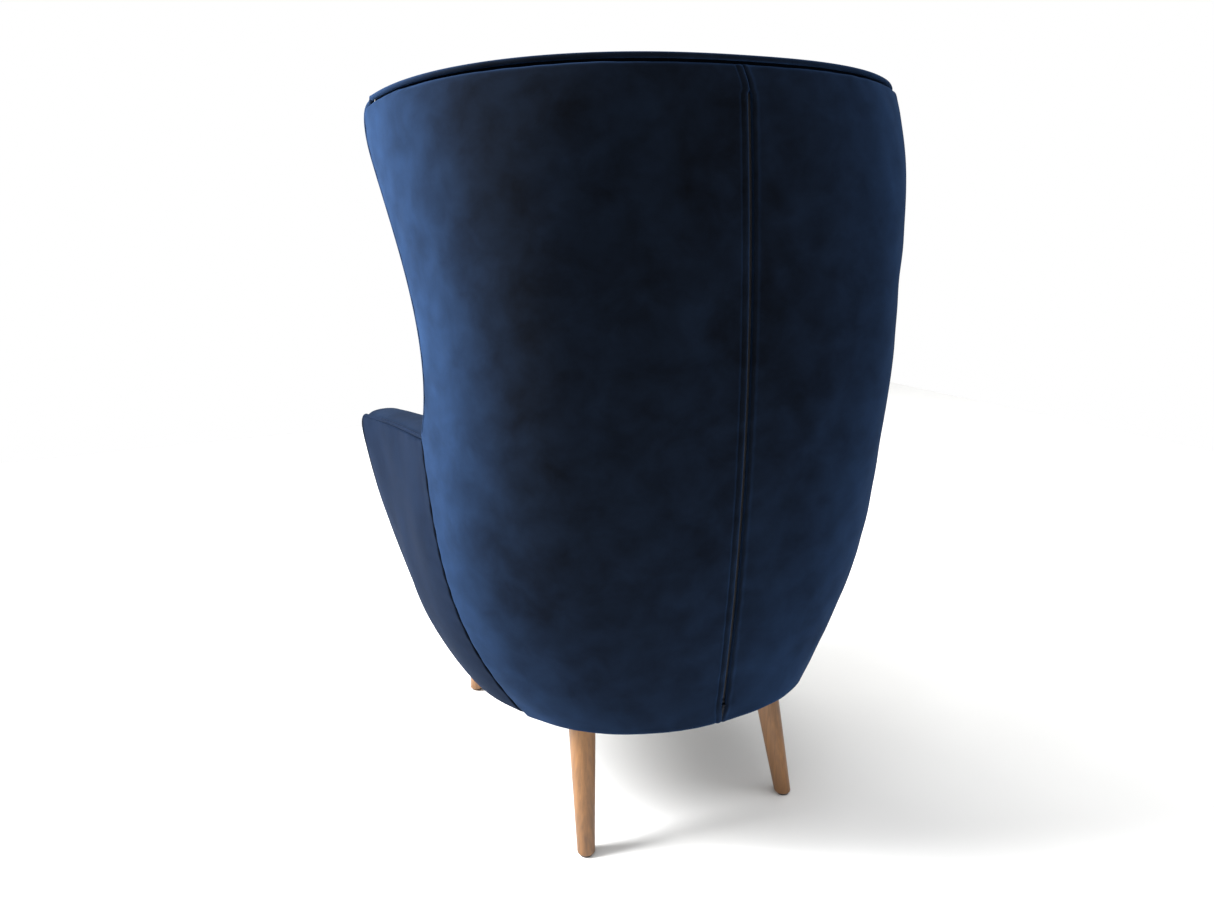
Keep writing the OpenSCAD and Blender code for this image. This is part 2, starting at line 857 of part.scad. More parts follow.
module zip_pull() {
  length = 24;
  barrel_r = 1.3;
  eye_w = slider_w - 2 * cheek - 0.3;
  tab_t = 1;
  color("dimgray") at_slider() translate([0, -pin_depth, 0]) difference() {
    union() {
      translate([-eye_w / 2, 0, 0]) rotate([0, 90, 0]) cylinder(r = barrel_r, h = eye_w, $fn = 32);
      translate([-eye_w / 2, -tab_t / 2, -5]) cube([eye_w, tab_t, 4.5]);
      translate([-1.9, -tab_t / 2, -length]) cube([3.8, tab_t, length - 4]);
    }
    translate([-4, 0, 0]) rotate([0, 90, 0]) cylinder(r = pin_r + pin_gap, h = 8, $fn = 24);
  }
}

// ---------- seat cushion ----------

// Outline of the cushion, in from the arms and the inner back by gap
function cushion_half(gap) =
  [for (s = steps(0, 1, 14)) let (p = inner_plan(deck_z, -199, s)) p - unit(p - [0, -69]) * gap];

module cushion_solid(gap, low, high) {
  half = cushion_half(gap);
  front = [[235 - gap, -259], [222 - gap, cushion_front_y + 14 + gap], [208 - gap, cushion_front_y + gap]];
  left = concat(half, front);
  right = [for (i = [len(left) - 1:-1:1]) [-left[i][0], left[i][1]]];
  translate([0, 0, low]) linear_extrude(high - low) polygon(concat(left, right));
}

cushion_low = deck_z + 0.5;
cushion_high = cushion_low + cushion_h;
case_t = 2;

module cushion_core() {
  inset = cushion_gap + case_t + 0.2;
  color("khaki") cushion_solid(inset, cushion_low + case_t + 0.2, cushion_high - case_t - 0.2);
}

module cushion_cover() {
  color("navy") difference() {
    cushion_solid(cushion_gap, cushion_low, cushion_high);
    cushion_solid(cushion_gap + case_t, cushion_low + case_t, cushion_high - case_t);
  }
}

front_rail();
rear_rail();
side_rail_left();
side_rail_right();
corner_blocks();
seat_springs();
spring_clips();
seat_deck();
dust_cover();
leg_plates();
plate_screws();
hanger_bolts();
rear_leg_left();
rear_leg_right();
front_leg_left();
front_leg_right();
glides();
top_rail();
lumbar_rail();
back_foot_rail();
back_post_left();
back_post_right();
wing_former_left();
wing_former_right();
arm_rail_left();
arm_rail_right();
arm_post_left();
arm_post_right();
back_webbing();
back_bolts();
back_wadding();
arm_wadding_left();
arm_wadding_right();
inner_back_foam();
wing_foam_left();
wing_foam_right();
arm_foam_left();
arm_foam_right();
front_border_pad();
outer_back_left();
outer_back_right();
outer_arm_left();
outer_arm_right();
inner_back_cover();
inner_wing_left();
inner_wing_right();
inner_arm_left();
inner_arm_right();
edge_border();
arm_border_left();
arm_border_right();
front_border_cover();
edge_piping();
arm_pipings();
zip_tapes();
zip_coil();
zip_slider();
zip_pull();
cushion_core();
cushion_cover();
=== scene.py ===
"""Wing-back lounge armchair: velvet covers, seams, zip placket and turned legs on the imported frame."""
import json
import math

import bmesh
import bpy
import numpy as np
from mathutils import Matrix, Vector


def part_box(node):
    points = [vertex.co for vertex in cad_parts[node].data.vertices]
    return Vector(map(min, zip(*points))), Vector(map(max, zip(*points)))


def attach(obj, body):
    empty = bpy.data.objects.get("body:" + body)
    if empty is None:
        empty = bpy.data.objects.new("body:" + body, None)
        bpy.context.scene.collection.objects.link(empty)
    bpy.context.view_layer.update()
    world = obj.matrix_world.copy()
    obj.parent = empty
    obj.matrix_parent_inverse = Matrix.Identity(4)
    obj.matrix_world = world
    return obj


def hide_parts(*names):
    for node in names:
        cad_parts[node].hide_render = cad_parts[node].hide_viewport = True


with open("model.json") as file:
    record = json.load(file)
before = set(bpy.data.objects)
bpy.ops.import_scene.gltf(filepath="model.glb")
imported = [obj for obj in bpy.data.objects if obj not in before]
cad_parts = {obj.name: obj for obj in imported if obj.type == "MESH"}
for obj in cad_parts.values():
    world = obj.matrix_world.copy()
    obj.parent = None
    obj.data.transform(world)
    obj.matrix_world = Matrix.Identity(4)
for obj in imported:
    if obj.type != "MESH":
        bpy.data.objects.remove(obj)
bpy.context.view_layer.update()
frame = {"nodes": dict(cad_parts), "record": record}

MM = 0.001

# ---------------------------------------------------------------- outline of the shell, in metres

LOW_Z, HIGH_Z = 0.190, 1.050
HALF_WIDTH = (0.261, 0.423, 0.253, 0.349, 0.366)
CORNER_POWER = (2.2, 2.55, 5.2, 2.3)
SIDE_FLARE = (-0.72, 0.35, 0.74, 0.0)
BACK_LOW_Y, BACK_HIGH_Y, BACK_BULGE = 0.315, 0.353, 0.033
WIDEST_Y = -0.030
SEAM_Y = (0.179, 0.160, 0.079)
WING_Y = (0.079, 0.166, 0.025, 0.006)
ARM_FRONT_Y = (-0.235, -0.291, -0.332)
TOP_Z, TOP_FALL, CENTRE_BACK = 1.037, 0.066, 0.351
WING_CORNER_R, ARM_CORNER_R = 0.068, 0.050
WAIST_Z, ARM_FRONT_Z = 0.596, 0.561
HEM_Z = (0.215, 0.192, 0.205)
WALL = 0.062
INNER_BACK_Y = (0.131, 0.166, 0.191, 0.231, 0.281)
INNER_TURN = 0.8
SIDE_RATE = math.radians(60) / 0.350

DECK_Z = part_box("seat_deck")[1].z
ZIP_TOP_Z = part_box("zip_tapes")[1].z

# Arc of the back's centre line
CHORD = math.hypot(HIGH_Z - LOW_Z, BACK_HIGH_Y - BACK_LOW_Y) / 2
ARC_R = (CHORD ** 2 + BACK_BULGE ** 2) / (2 * BACK_BULGE)
CHORD_TILT = math.atan2(BACK_HIGH_Y - BACK_LOW_Y, HIGH_Z - LOW_Z)
ARC_Y = (BACK_LOW_Y + BACK_HIGH_Y) / 2 + math.cos(CHORD_TILT) * (BACK_BULGE - ARC_R)
ARC_Z = (LOW_Z + HIGH_Z) / 2 - math.sin(CHORD_TILT) * (BACK_BULGE - ARC_R)


def curve(handles, t):
    """Smooth curve through its end handles: the Bernstein sum of the handles at t."""
    n = len(handles) - 1
    return sum(math.comb(n, i) * h * t ** i * (1 - t) ** (n - i) for i, h in enumerate(handles))


def level(z):
    """Height z as a fraction of the way from LOW_Z to HIGH_Z."""
    return (z - LOW_Z) / (HIGH_Z - LOW_Z)


def unit(v):
    """Vectors scaled to length 1."""
    return v / np.maximum(np.linalg.norm(v, axis=-1, keepdims=True), 1e-12)


def smooth(t):
    """Smooth step 3t^2 - 2t^3 between 0 and 1."""
    t = np.clip(t, 0.0, 1.0)
    return t * t * (3 - 2 * t)


def end_angle(w, depth, power, y_edge):
    """Plan angle of the point at y_edge: atan2 on the oval, or a quarter turn plus an even rate per
    metre on the side in front of it."""
    run = y_edge - WIDEST_Y
    share = np.clip(run / depth, 1e-9, 1 - 1e-9)
    return np.where(run > 0, np.arctan2(w * (1 - share ** power) ** (1 / power), run),
                    math.pi / 2 - run * SIDE_RATE)


def plan_point(w, depth, power, flare, y_edge, s):
    """Plan of the shell at fraction s, by angle, from the back's centre to y_edge: a squared oval
    |x/w|^p + |y/d|^p = 1 behind the widest line, and a side x = w + flare*a^2 in front of it."""
    angle = s * end_angle(w, depth, power, y_edge)
    turn = np.clip(angle, -math.pi / 2, math.pi / 2)
    r = (np.abs(np.sin(turn) / w) ** power + np.abs(np.cos(turn) / depth) ** power) ** (-1 / power)
    ahead = np.maximum(np.abs(angle) - math.pi / 2, 0) / SIDE_RATE
    side = np.where(ahead > 0, (w + flare * ahead ** 2) * np.sign(angle), r * np.sin(turn))
    return side, np.where(ahead > 0, WIDEST_Y - ahead, WIDEST_Y + r * np.cos(turn))


def back_y(z):
    """Y of the back's centre line, on its arc at height z."""
    return ARC_Y + np.sqrt(ARC_R ** 2 - (z - ARC_Z) ** 2)


def outer_plan(z, y_edge, s):
    """X and Y on the outer face at height z and fraction s."""
    t = level(z)
    return plan_point(curve(HALF_WIDTH, t), back_y(z) - WIDEST_Y, curve(CORNER_POWER, t),
                      curve(SIDE_FLARE, t), y_edge, s)


def inner_plan(z, y_edge, s):
    """X and Y on the inner face: the oval less the wall, with its own depth."""
    t = level(z)
    depth = curve(INNER_BACK_Y, t) - WIDEST_Y
    edge = np.minimum(y_edge, WIDEST_Y + INNER_TURN * depth)
    return plan_point(curve(HALF_WIDTH, t) - WALL, depth, curve(CORNER_POWER, t),
                      curve(SIDE_FLARE, t), edge, s)


def hem_line(y):
    """Height of the lower edge, by how far y lies in front of the back."""
    return curve(HEM_Z, np.clip((CENTRE_BACK - y) / 0.6, 0, 1))


def top_line(y):
    """Height of the upper edge, which falls evenly towards the front."""
    return TOP_Z - TOP_FALL * (CENTRE_BACK - y)


def corner_pull(over, r):
    """Setback of a rounded corner: r - sqrt(r^2 - over^2)."""
    over = np.maximum(over, 0)
    return r - np.sqrt(np.maximum(r * r - over * over, 0))


def seam_at(z):
    """Y of the side seam between back and arm."""
    return curve(SEAM_Y, (z - LOW_Z) / (WAIST_Z - LOW_Z))


WING_TOP_Z = top_line(WING_Y[-1])


def back_edge_y(z):
    """Y of the back's free edge: the side seam below the waist, the wing's curve above it."""
    wing = curve(WING_Y, np.clip((z - WAIST_Z) / (WING_TOP_Z - WAIST_Z), 0, 1.05))
    wing = wing + corner_pull(np.minimum(z - WING_TOP_Z, 0) + WING_CORNER_R, WING_CORNER_R)
    return np.where(z < WAIST_Z, seam_at(z), wing)


# A depth so slight that it stands for the inner face itself
ON_INNER = -1e-6


def between(outer, inner, depth):
    """Points at depth under the outer face, or short of the inner face where depth is negative."""
    across = unit(inner - outer)
    depth = np.asarray(depth)[..., None] * np.ones_like(across)
    return np.where(depth >= 0, outer + across * depth, inner + across * depth)


def back_point(s, v, depth=0.0):
    """Back and wings: s from the centre line (0) to the free edge (1, or -1 on the right), v from
    hem to top. The height is found by repeating, because the hem and top lines follow y."""
    s, v = np.broadcast_arrays(np.asarray(s, float), np.asarray(v, float))
    z = LOW_Z + v * (TOP_Z - LOW_Z)
    for _ in range(4):
        y = outer_plan(z, back_edge_y(z), s)[1]
        z = hem_line(y) + v * (top_line(y) - hem_line(y))
    outer = np.stack([*outer_plan(z, back_edge_y(z), s), z], -1)
    inner = np.stack([*inner_plan(z, back_edge_y(z), s), z], -1)
    return between(outer, inner, depth)


def arm_point(s, v, depth=0.0):
    """Left arm: s from the side seam (0) to the front edge (1), v from hem to arm top."""
    s, v = np.broadcast_arrays(np.asarray(s, float), np.asarray(v, float))
    z = LOW_Z + v * (ARM_FRONT_Z - LOW_Z)
    top = WAIST_Z + (ARM_FRONT_Z - WAIST_Z) * s

    def front(z):
        return (curve(ARM_FRONT_Y, (z - LOW_Z) / (WAIST_Z - LOW_Z))
                + corner_pull(z - top + ARM_CORNER_R, ARM_CORNER_R))

    for _ in range(4):
        y = seam_at(z) + (front(z) - seam_at(z)) * s
        z = hem_line(y) + v * (top - hem_line(y))
    y = seam_at(z) + (front(z) - seam_at(z)) * s
    depth_in = curve(INNER_BACK_Y, level(z)) - WIDEST_Y
    rear_in = np.minimum(seam_at(z), WIDEST_Y + INNER_TURN * depth_in)
    y_in = rear_in + (front(z) - rear_in) * s
    outer = np.stack([*outer_plan(z, y, np.ones_like(z)), z], -1)
    inner = np.stack([*inner_plan(z, y_in, np.ones_like(z)), z], -1)
    return between(outer, inner, depth)


def near_centre(x, v):
    """Fraction s of the point of the back that is x from the centre plane, at fraction v up."""
    z = back_point(np.zeros_like(v), v)[..., 2]
    depth = back_y(z) - WIDEST_Y
    t = level(z)
    return np.arctan2(x, depth) / end_angle(curve(HALF_WIDTH, t), depth, curve(CORNER_POWER, t),
                                            back_edge_y(z))


# ---------------------------------------------------------------- meshes from grids


def new_piece(name, points, faces):
    """Smooth-shaded mesh object with coincident points joined."""
    mesh = bpy.data.meshes.new(name)
    mesh.from_pydata(points, [], faces)
    work = bmesh.new()
    work.from_mesh(mesh)
    bmesh.ops.remove_doubles(work, verts=work.verts, dist=1e-6)
    work.to_mesh(mesh)
    work.free()
    mesh.update()
    mesh.polygons.foreach_set("use_smooth", np.full(len(mesh.polygons), True))
    piece = bpy.data.objects.new(name, mesh)
    bpy.context.scene.collection.objects.link(piece)
    return piece


def quad_faces(rows, cols, wrap_rows=False, wrap_cols=False, turned=False):
    """Faces of a grid of rows by cols points, joined round on itself where wrap says so."""
    i, j = np.meshgrid(np.arange(rows if wrap_rows else rows - 1),
                       np.arange(cols if wrap_cols else cols - 1), indexing="ij")
    down, right = (i + 1) % rows, (j + 1) % cols
    quads = np.stack([i * cols + j, i * cols + right, down * cols + right, down * cols + j], -1)
    quads = quads.reshape(-1, 4)
    return quads[:, ::-1] if turned else quads


def grid_piece(name, grid, turned=False, wrap_rows=False, wrap_cols=False):
    """Piece from a grid of points."""
    rows, cols = grid.shape[:2]
    faces = quad_faces(rows, cols, wrap_rows, wrap_cols, turned)
    return new_piece(name, grid.reshape(-1, 3).tolist(), faces.tolist())


def tube_piece(name, path, radius, out, sides=12):
    """Round cord along path with capped ends: rings p + r(cos a * out + sin a * across)."""
    ahead = unit(np.gradient(path, axis=0))
    across = unit(np.cross(ahead, out))
    up = np.cross(across, ahead)
    a = np.linspace(0, 2 * math.pi, sides, endpoint=False)[None, :, None]
    radius = np.broadcast_to(np.asarray(radius, float), path.shape[:1])[:, None, None]
    rings = path[:, None] + radius * (np.cos(a) * up[:, None] + np.sin(a) * across[:, None])
    rows = len(path)
    faces = quad_faces(rows, sides, wrap_cols=True, turned=True).tolist()
    faces += [list(range(sides)), list(range((rows - 1) * sides, rows * sides))[::-1]]
    return new_piece(name, rings.reshape(-1, 3).tolist(), faces)


def add_modifier(piece, kind, **settings):
    """Adds a modifier with its settings."""
    modifier = piece.modifiers.new(kind.title(), kind)
    for key, value in settings.items():
        setattr(modifier, key, value)


def subdivide(piece, levels=1):
    """Rounds a piece by subdivision, alike in view and render."""
    add_modifier(piece, "SUBSURF", levels=levels, render_levels=levels)


def mirrored(points):
    """The same points on the other side: x changes sign."""
    return points * np.array([-1.0, 1.0, 1.0])


# ---------------------------------------------------------------- cloth surfaces


def roll(distance, r):
    """Dip of a cloth edge that turns inwards on a quarter round of radius r."""
    d = np.clip(distance, 0, r)
    return r - np.sqrt(np.maximum(r * r - (r - d) ** 2, 0))


def groove(distance, at, depth, width):
    """Dip along a stitched line: depth * e^(-((distance - at) / width)^2)."""
    return depth * np.exp(-((distance - at) / width) ** 2)


def along(grid, axis):
    """Distance along each row or column of a grid of points."""
    step = np.linalg.norm(np.diff(grid, axis=axis), axis=-1)
    start = np.zeros_like(np.take(step, [0], axis=axis))
    return np.concatenate([start, np.cumsum(step, axis=axis)], axis=axis)


def normals(grid):
    """Unit normals of a grid, rows crossed with columns."""
    return unit(np.cross(np.gradient(grid, axis=0), np.gradient(grid, axis=1)))


def waves(u, w, size, seed):
    """Soft unevenness, about -1 to 1: a sum of slanted sine waves of lengths near size."""
    rng = np.random.default_rng(seed)
    total = 0
    for _ in range(9):
        angle = rng.uniform(0, math.pi)
        length = size * rng.uniform(0.7, 1.6)
        total = total + np.sin(2 * math.pi * (u * math.cos(angle) + w * math.sin(angle)) / length
                               + rng.uniform(0, 2 * math.pi))
    return total / 4.5


def puckers(along_seam, distance, pitch, reach, seed):
    """Small folds square to a seam, which fade out over reach."""
    wobble = waves(along_seam, along_seam * 0, pitch * 7, seed)
    return np.sin(2 * math.pi * along_seam / pitch + 2.2 * wobble) * np.exp(-distance / reach)


def spaced(start, stop, count, fine=0.012, fine_count=6):
    """Fractions from start to stop, closer together within fine of both ends."""
    ends = np.linspace(0, 1, fine_count, endpoint=False) ** 1.5 * fine
    middle = np.linspace(fine, 1 - fine, count)
    t = np.concatenate([ends, middle, 1 - ends[::-1]])
    return start + (stop - start) * t


def with_skirt(grid, inward, depth):
    """Adds one more ring of points round a grid, straight in from its rim by depth."""
    deep = np.pad(grid, ((1, 1), (1, 1), (0, 0)), mode="edge")
    inward = np.pad(inward, ((1, 1), (1, 1), (0, 0)), mode="edge")
    rim = np.ones(deep.shape[:2])
    rim[1:-1, 1:-1] = 0
    return deep + inward * (rim * depth)[..., None]


SEAM_GAP = 1.2 * MM
COVER_T = 1.4 * MM
WELT_R = 3.2 * MM
GROOVE_DROP = 10 * MM
BACK_RUN, BACK_RISE = 0.520, 0.830
ARM_RUN, ARM_RISE = 0.410, 0.375
SLIT_HALF = 3.1 * MM
LAP_W = 8.5 * MM
SKIRT = 8 * MM
HEM_LOW = 2.5 * MM


def zip_centre(z):
    """X of the middle of the placket: it leans to the left above the zip's end."""
    rise = smooth((z - ZIP_TOP_Z) / (TOP_Z - ZIP_TOP_Z))
    return 10 * MM * rise


def slit_half(z):
    """Half width of the open slit: it closes to a sewn seam above the zip's end and at the hem."""
    closed_above = smooth((z - ZIP_TOP_Z + 2 * MM) / (2.5 * MM))
    closed_below = smooth((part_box("zip_tapes")[0].z - z + 10 * MM) / (20 * MM))
    return SLIT_HALF * (1 - 0.9 * np.maximum(closed_above, closed_below))


def outer_back(side):
    """Half of the outer back: the shell's outer face from the slit to the side seam and the wing's
    edge, with every edge rolled in, a stitched lap beside the zip and soft unevenness."""
    left = side > 0
    v = spaced(-HEM_LOW / BACK_RISE, 1 - GROOVE_DROP / BACK_RISE, 150, fine=0.012)[:, None]
    z0 = back_point(np.zeros_like(v), v)[..., 2]
    edge_x = slit_half(z0) + (zip_centre(z0) if left else -zip_centre(z0))
    start = near_centre(edge_x, v)
    z1 = back_point(np.ones_like(v), v)[..., 2]
    above = smooth((z1 - WAIST_Z + 4 * MM) / (16 * MM))
    stop = 1 - (SEAM_GAP * (1 - above) + GROOVE_DROP * 0.55 * above) / BACK_RUN
    share = spaced(0.0, 1.0, 120, fine=0.034, fine_count=14)[None, :]
    grid = back_point(start + (stop - start) * share, v)
    out = normals(grid)
    across, up = along(grid, 1), along(grid, 0)
    from_edge = across[:, -1:] - across
    from_top = up[-1:] - up
    dip = roll(across, 2.4 * MM) + roll(from_edge, 4 * MM) + roll(from_top, 4.5 * MM) + roll(up, 6 * MM)
    if left:
        dip += groove(across, LAP_W, 1.3 * MM, 1.3 * MM)
        dip -= groove(across, LAP_W / 2, 0.7 * MM, 3.4 * MM)
    else:
        dip -= groove(across, 3.5 * MM, 0.8 * MM, 3 * MM)
    rise = 1.1 * MM * waves(across, up, 0.16, 3 if left else 4)
    rise = rise + 0.45 * MM * waves(across, up, 0.06, 5 if left else 6)
    inner_fade = smooth(across / 0.03) * smooth(from_edge / 0.03)
    dip = dip - rise * inner_fade
    dip += 0.5 * MM * puckers(up, across, 0.034, 0.018, 11) * smooth(across / (3 * MM))
    dip += 0.25 * MM * puckers(across, from_top, 0.041, 0.014, 12)
    dip += 0.4 * MM * puckers(up, from_edge, 0.03, 0.016, 13)
    inward = unit(back_point(start + (stop - start) * share, v, -MM) - grid)
    grid = grid - out * dip[..., None]
    grid = with_skirt(grid, inward, SKIRT)
    name = "outer_back_panel_" + ("left" if left else "right")
    piece = grid_piece(name, grid if left else mirrored(grid), turned=left)
    area = float(across[:, -1].mean() * up[-1].mean())
    return piece, (float(across[:, -1].max()), float(up[-1].max())), area


def outer_arm(side):
    """Outer arm cover: the shell's face from the side seam to the arm's front edge."""
    v = spaced(HEM_LOW / ARM_RISE, 1 - 7 * MM / ARM_RISE, 70, fine=0.02)[:, None]
    s = spaced(SEAM_GAP / ARM_RUN, 1 - 6 * MM / ARM_RUN, 80, fine=0.024)[None, :]
    grid = arm_point(s, v)
    out = normals(grid)
    across, up = along(grid, 1), along(grid, 0)
    from_front, from_top = across[:, -1:] - across, up[-1:] - up
    dip = roll(across, 3 * MM) + roll(from_front, 4 * MM) + roll(from_top, 4 * MM) + roll(up, 6 * MM)
    dip -= 1.2 * MM * waves(across, up, 0.15, 21) * smooth(across / 0.03) * smooth(from_front / 0.03)
    dip += 0.6 * MM * puckers(up, across, 0.030, 0.018, 22)
    dip += 0.2 * MM * puckers(across, from_top, 0.045, 0.012, 23)
    inward = unit(arm_point(s, v, -MM) - grid)
    grid = with_skirt(grid - out * dip[..., None], inward, SKIRT)
    name = "outer_arm_panel_" + ("left" if side > 0 else "right")
    piece = grid_piece(name, grid if side > 0 else mirrored(grid), turned=side > 0)
    area = float(across[:, -1].mean() * up[-1].mean())
    return piece, (float(across[:, -1].max()), float(up[-1].max())), area


def rim_frame(point, route_s, route_v):
    """Along the free edge: the outer and inner rim, the way across and the way out of the edge."""
    outer, inner = point(route_s, route_v, 0.0), point(route_s, route_v, ON_INNER)
    across = unit(inner - outer)
    ahead = unit(np.gradient((outer + inner) / 2, axis=0))
    return outer, inner, across, unit(np.cross(ahead, across))


FLANGE_IN = 6.5 * MM
FLANGE_DOWN = 16 * MM


def edge_roll(name, point, route_s, route_v, lift, drop, welt_gap, mirror=False, seed=31):
    """Padded roll over the free edge of the shell. Its section is a flattened half round
    x = D/2 (1 - cos a), h = H sin(a)^0.62 - drop, from the welt across to the inner face."""
    outer, inner, across, out = rim_frame(point, route_s, route_v)
    wide = np.linalg.norm(inner - outer, axis=-1)[:, None]
    a = np.linspace(0, math.pi, 34)[None, :]
    x = welt_gap + (wide - welt_gap + 1.5 * MM) / 2 * (1 - np.cos(a))
    h = (lift + drop) * np.sin(a) ** 0.62 - drop
    run = along(outer[None], 1)[0][:, None]
    h = h + 0.25 * MM * puckers(run, a * 0, 0.048, 1, seed) * np.sin(a) * np.exp(-x / 0.02)
    h = h + 0.8 * MM * waves(run, a * 0.02, 0.11, seed + 1) * np.sin(a)
    x = np.concatenate([x[:, :1] * 0 + FLANGE_IN, x[:, :1], x, x[:, -1:] - 6 * MM], 1)
    h = np.concatenate([h[:, :1] - FLANGE_DOWN, h[:, :1] - 2 * MM, h, h[:, -1:] - 3 * MM], 1)
    grid = outer[:, None] + across[:, None] * x[..., None] + out[:, None] * h[..., None]
    if mirror:
        grid = mirrored(grid)
    return grid_piece(name, grid, turned=not mirror)


def rising(from_v, count):
    """Fractions from from_v to 1, closer together towards 1, where the corner is."""
    return from_v + (1 - from_v) * (1 - (1 - np.linspace(0, 1, count)) ** 1.6)


def edge_route(count_side, count_top, from_v):
    """Route along the wing, over the top and down the other wing, as (s, v)."""
    side_v = rising(from_v, count_side)
    top_s = np.linspace(1.0, -1.0, count_top)
    s = np.concatenate([np.ones(count_side), top_s[1:-1], -np.ones(count_side)])
    v = np.concatenate([side_v, np.ones(count_top - 2), side_v[::-1]])
    return s, v


def even_route(point, s, v, step):
    """The same route with points at equal steps."""
    path = point(s, v)
    length = along(path[None], 1)[0]
    at = np.linspace(0, length[-1], int(length[-1] / step))
    return np.interp(at, length, s), np.interp(at, length, v)


# ---------------------------------------------------------------- padded pieces


def closed_pad(name, front, back, turned):
    """Closed cushion form from a front and a back grid, joined all round through their mid rim."""
    rim = np.pad((front + back) / 2, ((1, 1), (1, 1), (0, 0)), mode="edge")
    halves = []
    for face in (front, back):
        whole = rim.copy()
        whole[1:-1, 1:-1] = face
        halves.append(whole.reshape(-1, 3))
    rows, cols = rim.shape[:2]
    faces = np.concatenate([quad_faces(rows, cols, turned=turned),
                            quad_faces(rows, cols, turned=not turned) + rows * cols])
    return new_piece(name, np.concatenate(halves).tolist(), faces.tolist())


def inner_pad(name, point, s, v, crown, edge_r, mirror=False, turned=False, seed=41):
    """Pad on the inner face of the shell: a dome over the face, its four edges on quarter rounds."""
    s, v = s[None, :], v[:, None]
    face = point(s, v, ON_INNER)
    across = unit(face - point(s, v, 0.0))
    u, w = along(face, 1), along(face, 0)
    from_end, from_top = u[:, -1:] - u, w[-1:] - w
    edges = [u, from_end, w, from_top]
    height = sum(-roll(d, edge_r) for d in edges)
    dome = np.prod([1 - np.exp(-d / 0.06) for d in edges], axis=0)
    height = height + crown * dome + 1.0 * MM * waves(u, w, 0.14, seed) * dome
    nearest = np.minimum.reduce(edges)
    height += 0.5 * MM * puckers(u + w, nearest, 0.03, 0.02, seed + 1) * smooth(nearest / edge_r)
    front = face + across * height[..., None]
    back = face - across * (edge_r + 5 * MM)
    if mirror:
        front, back = mirrored(front), mirrored(back)
    return closed_pad(name, front, back, turned)


def near(points, path, reach):
    """True for each point that lies within reach of the path's points."""
    return np.array([np.min(np.sum((path - p) ** 2, axis=1)) for p in points]) < reach ** 2


def voxel_form(piece, size):
    """Replaces the piece's mesh by an even one of the given cell size."""
    add_modifier(piece, "REMESH", mode="VOXEL", voxel_size=size, use_smooth_shade=True)
    apply_modifiers(piece)


def apply_modifiers(piece):
    """Makes the piece's mesh what its modifiers show."""
    depsgraph = bpy.context.evaluated_depsgraph_get()
    mesh = bpy.data.meshes.new_from_object(piece.evaluated_get(depsgraph))
    piece.modifiers.clear()
    piece.data = mesh
    mesh.name = piece.name


def coordinates(mesh):
    """The mesh's points as an array of rows."""
    flat = np.empty(len(mesh.vertices) * 3)
    mesh.vertices.foreach_get("co", flat)
    return flat.reshape(-1, 3)


SIM_STEPS = 20


def plump(piece, held, pressure, limit, floor_z=None):
    """Blows the piece up like a filled cover whose points in held are stitched down. No point moves
    further than limit, and none goes under floor_z."""
    mesh = piece.data
    before = coordinates(mesh)
    group = piece.vertex_groups.new(name="stitched")
    group.add(np.flatnonzero(held(before)).tolist(), 1.0, "REPLACE")
    cloth = piece.modifiers.new("Cloth", "CLOTH")
    settings = cloth.settings
    settings.quality = 4
    settings.mass = 0.35
    settings.tension_stiffness = settings.compression_stiffness = 22
    settings.shear_stiffness = 8
    settings.bending_stiffness = 2.0
    settings.use_pressure = True
    settings.uniform_pressure_force = pressure
    settings.vertex_group_mass = group.name
    settings.effector_weights.gravity = 0
    cloth.collision_settings.use_collision = False
    cloth.collision_settings.use_self_collision = False
    scene = bpy.context.scene
    for step in range(1, SIM_STEPS + 1):
        scene.frame_set(step)
    depsgraph = bpy.context.evaluated_depsgraph_get()
    after = coordinates(piece.evaluated_get(depsgraph).data)
    move = after - before
    length = np.linalg.norm(move, axis=1, keepdims=True)
    move *= limit * np.tanh(length / limit) / np.maximum(length, 1e-9)
    after = before + move
    if floor_z is not None:
        after[:, 2] = np.maximum(after[:, 2], floor_z)
    piece.modifiers.clear()
    piece.vertex_groups.clear()
    scene.frame_set(1)
    mesh.vertices.foreach_set("co", after.ravel())
    mesh.update()
    mesh.polygons.foreach_set("use_smooth", np.full(len(mesh.polygons), True))


# ---------------------------------------------------------------- seat cushion

CUSHION_LOW, CUSHION_HIGH = (c.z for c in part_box("cushion_cover"))
CUSHION_GAP = 3 * MM
CUSHION_FRONT_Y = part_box("cushion_cover")[0].y
CUSHION_CENTRE = np.array([0.0, -0.100])
SEAM_IN = 9 * MM
CROWN_LOW, CROWN_HIGH = 8.5 * MM, 14 * MM
SIDE_BULGE = 0.012
CELL = 6 * MM


def cushion_outline(step=6 * MM):
    """Plan of the cushion: the inner shell at the deck less a clearance, and a front with round
    corners."""
    s = np.linspace(0, 1, 60)
    half = np.stack(inner_plan(np.full(60, DECK_Z), np.full(60, -0.199), s), -1)
    half -= unit(half - np.array([0.0, -0.069])) * CUSHION_GAP
    front = np.array([[0.232, -0.259], [0.219, CUSHION_FRONT_Y + 0.017], [0.205, CUSHION_FRONT_Y],
                      [0.100, CUSHION_FRONT_Y], [0.0, CUSHION_FRONT_Y]])
    left = np.concatenate([half, front])
    right = (left * [-1, 1])[::-1][1:-1]
    loop = np.concatenate([left, right, left[:1]])
    length = along(loop[None], 1)[0]
    count = int(length[-1] / step)
    at = np.linspace(0, length[-1], count, endpoint=False)
    loop = np.stack([np.interp(at, length, loop[:, k]) for k in (0, 1)], -1)
    for _ in range(10):
        loop = (np.roll(loop, 1, 0) + 2 * loop + np.roll(loop, -1, 0)) / 4
    return loop


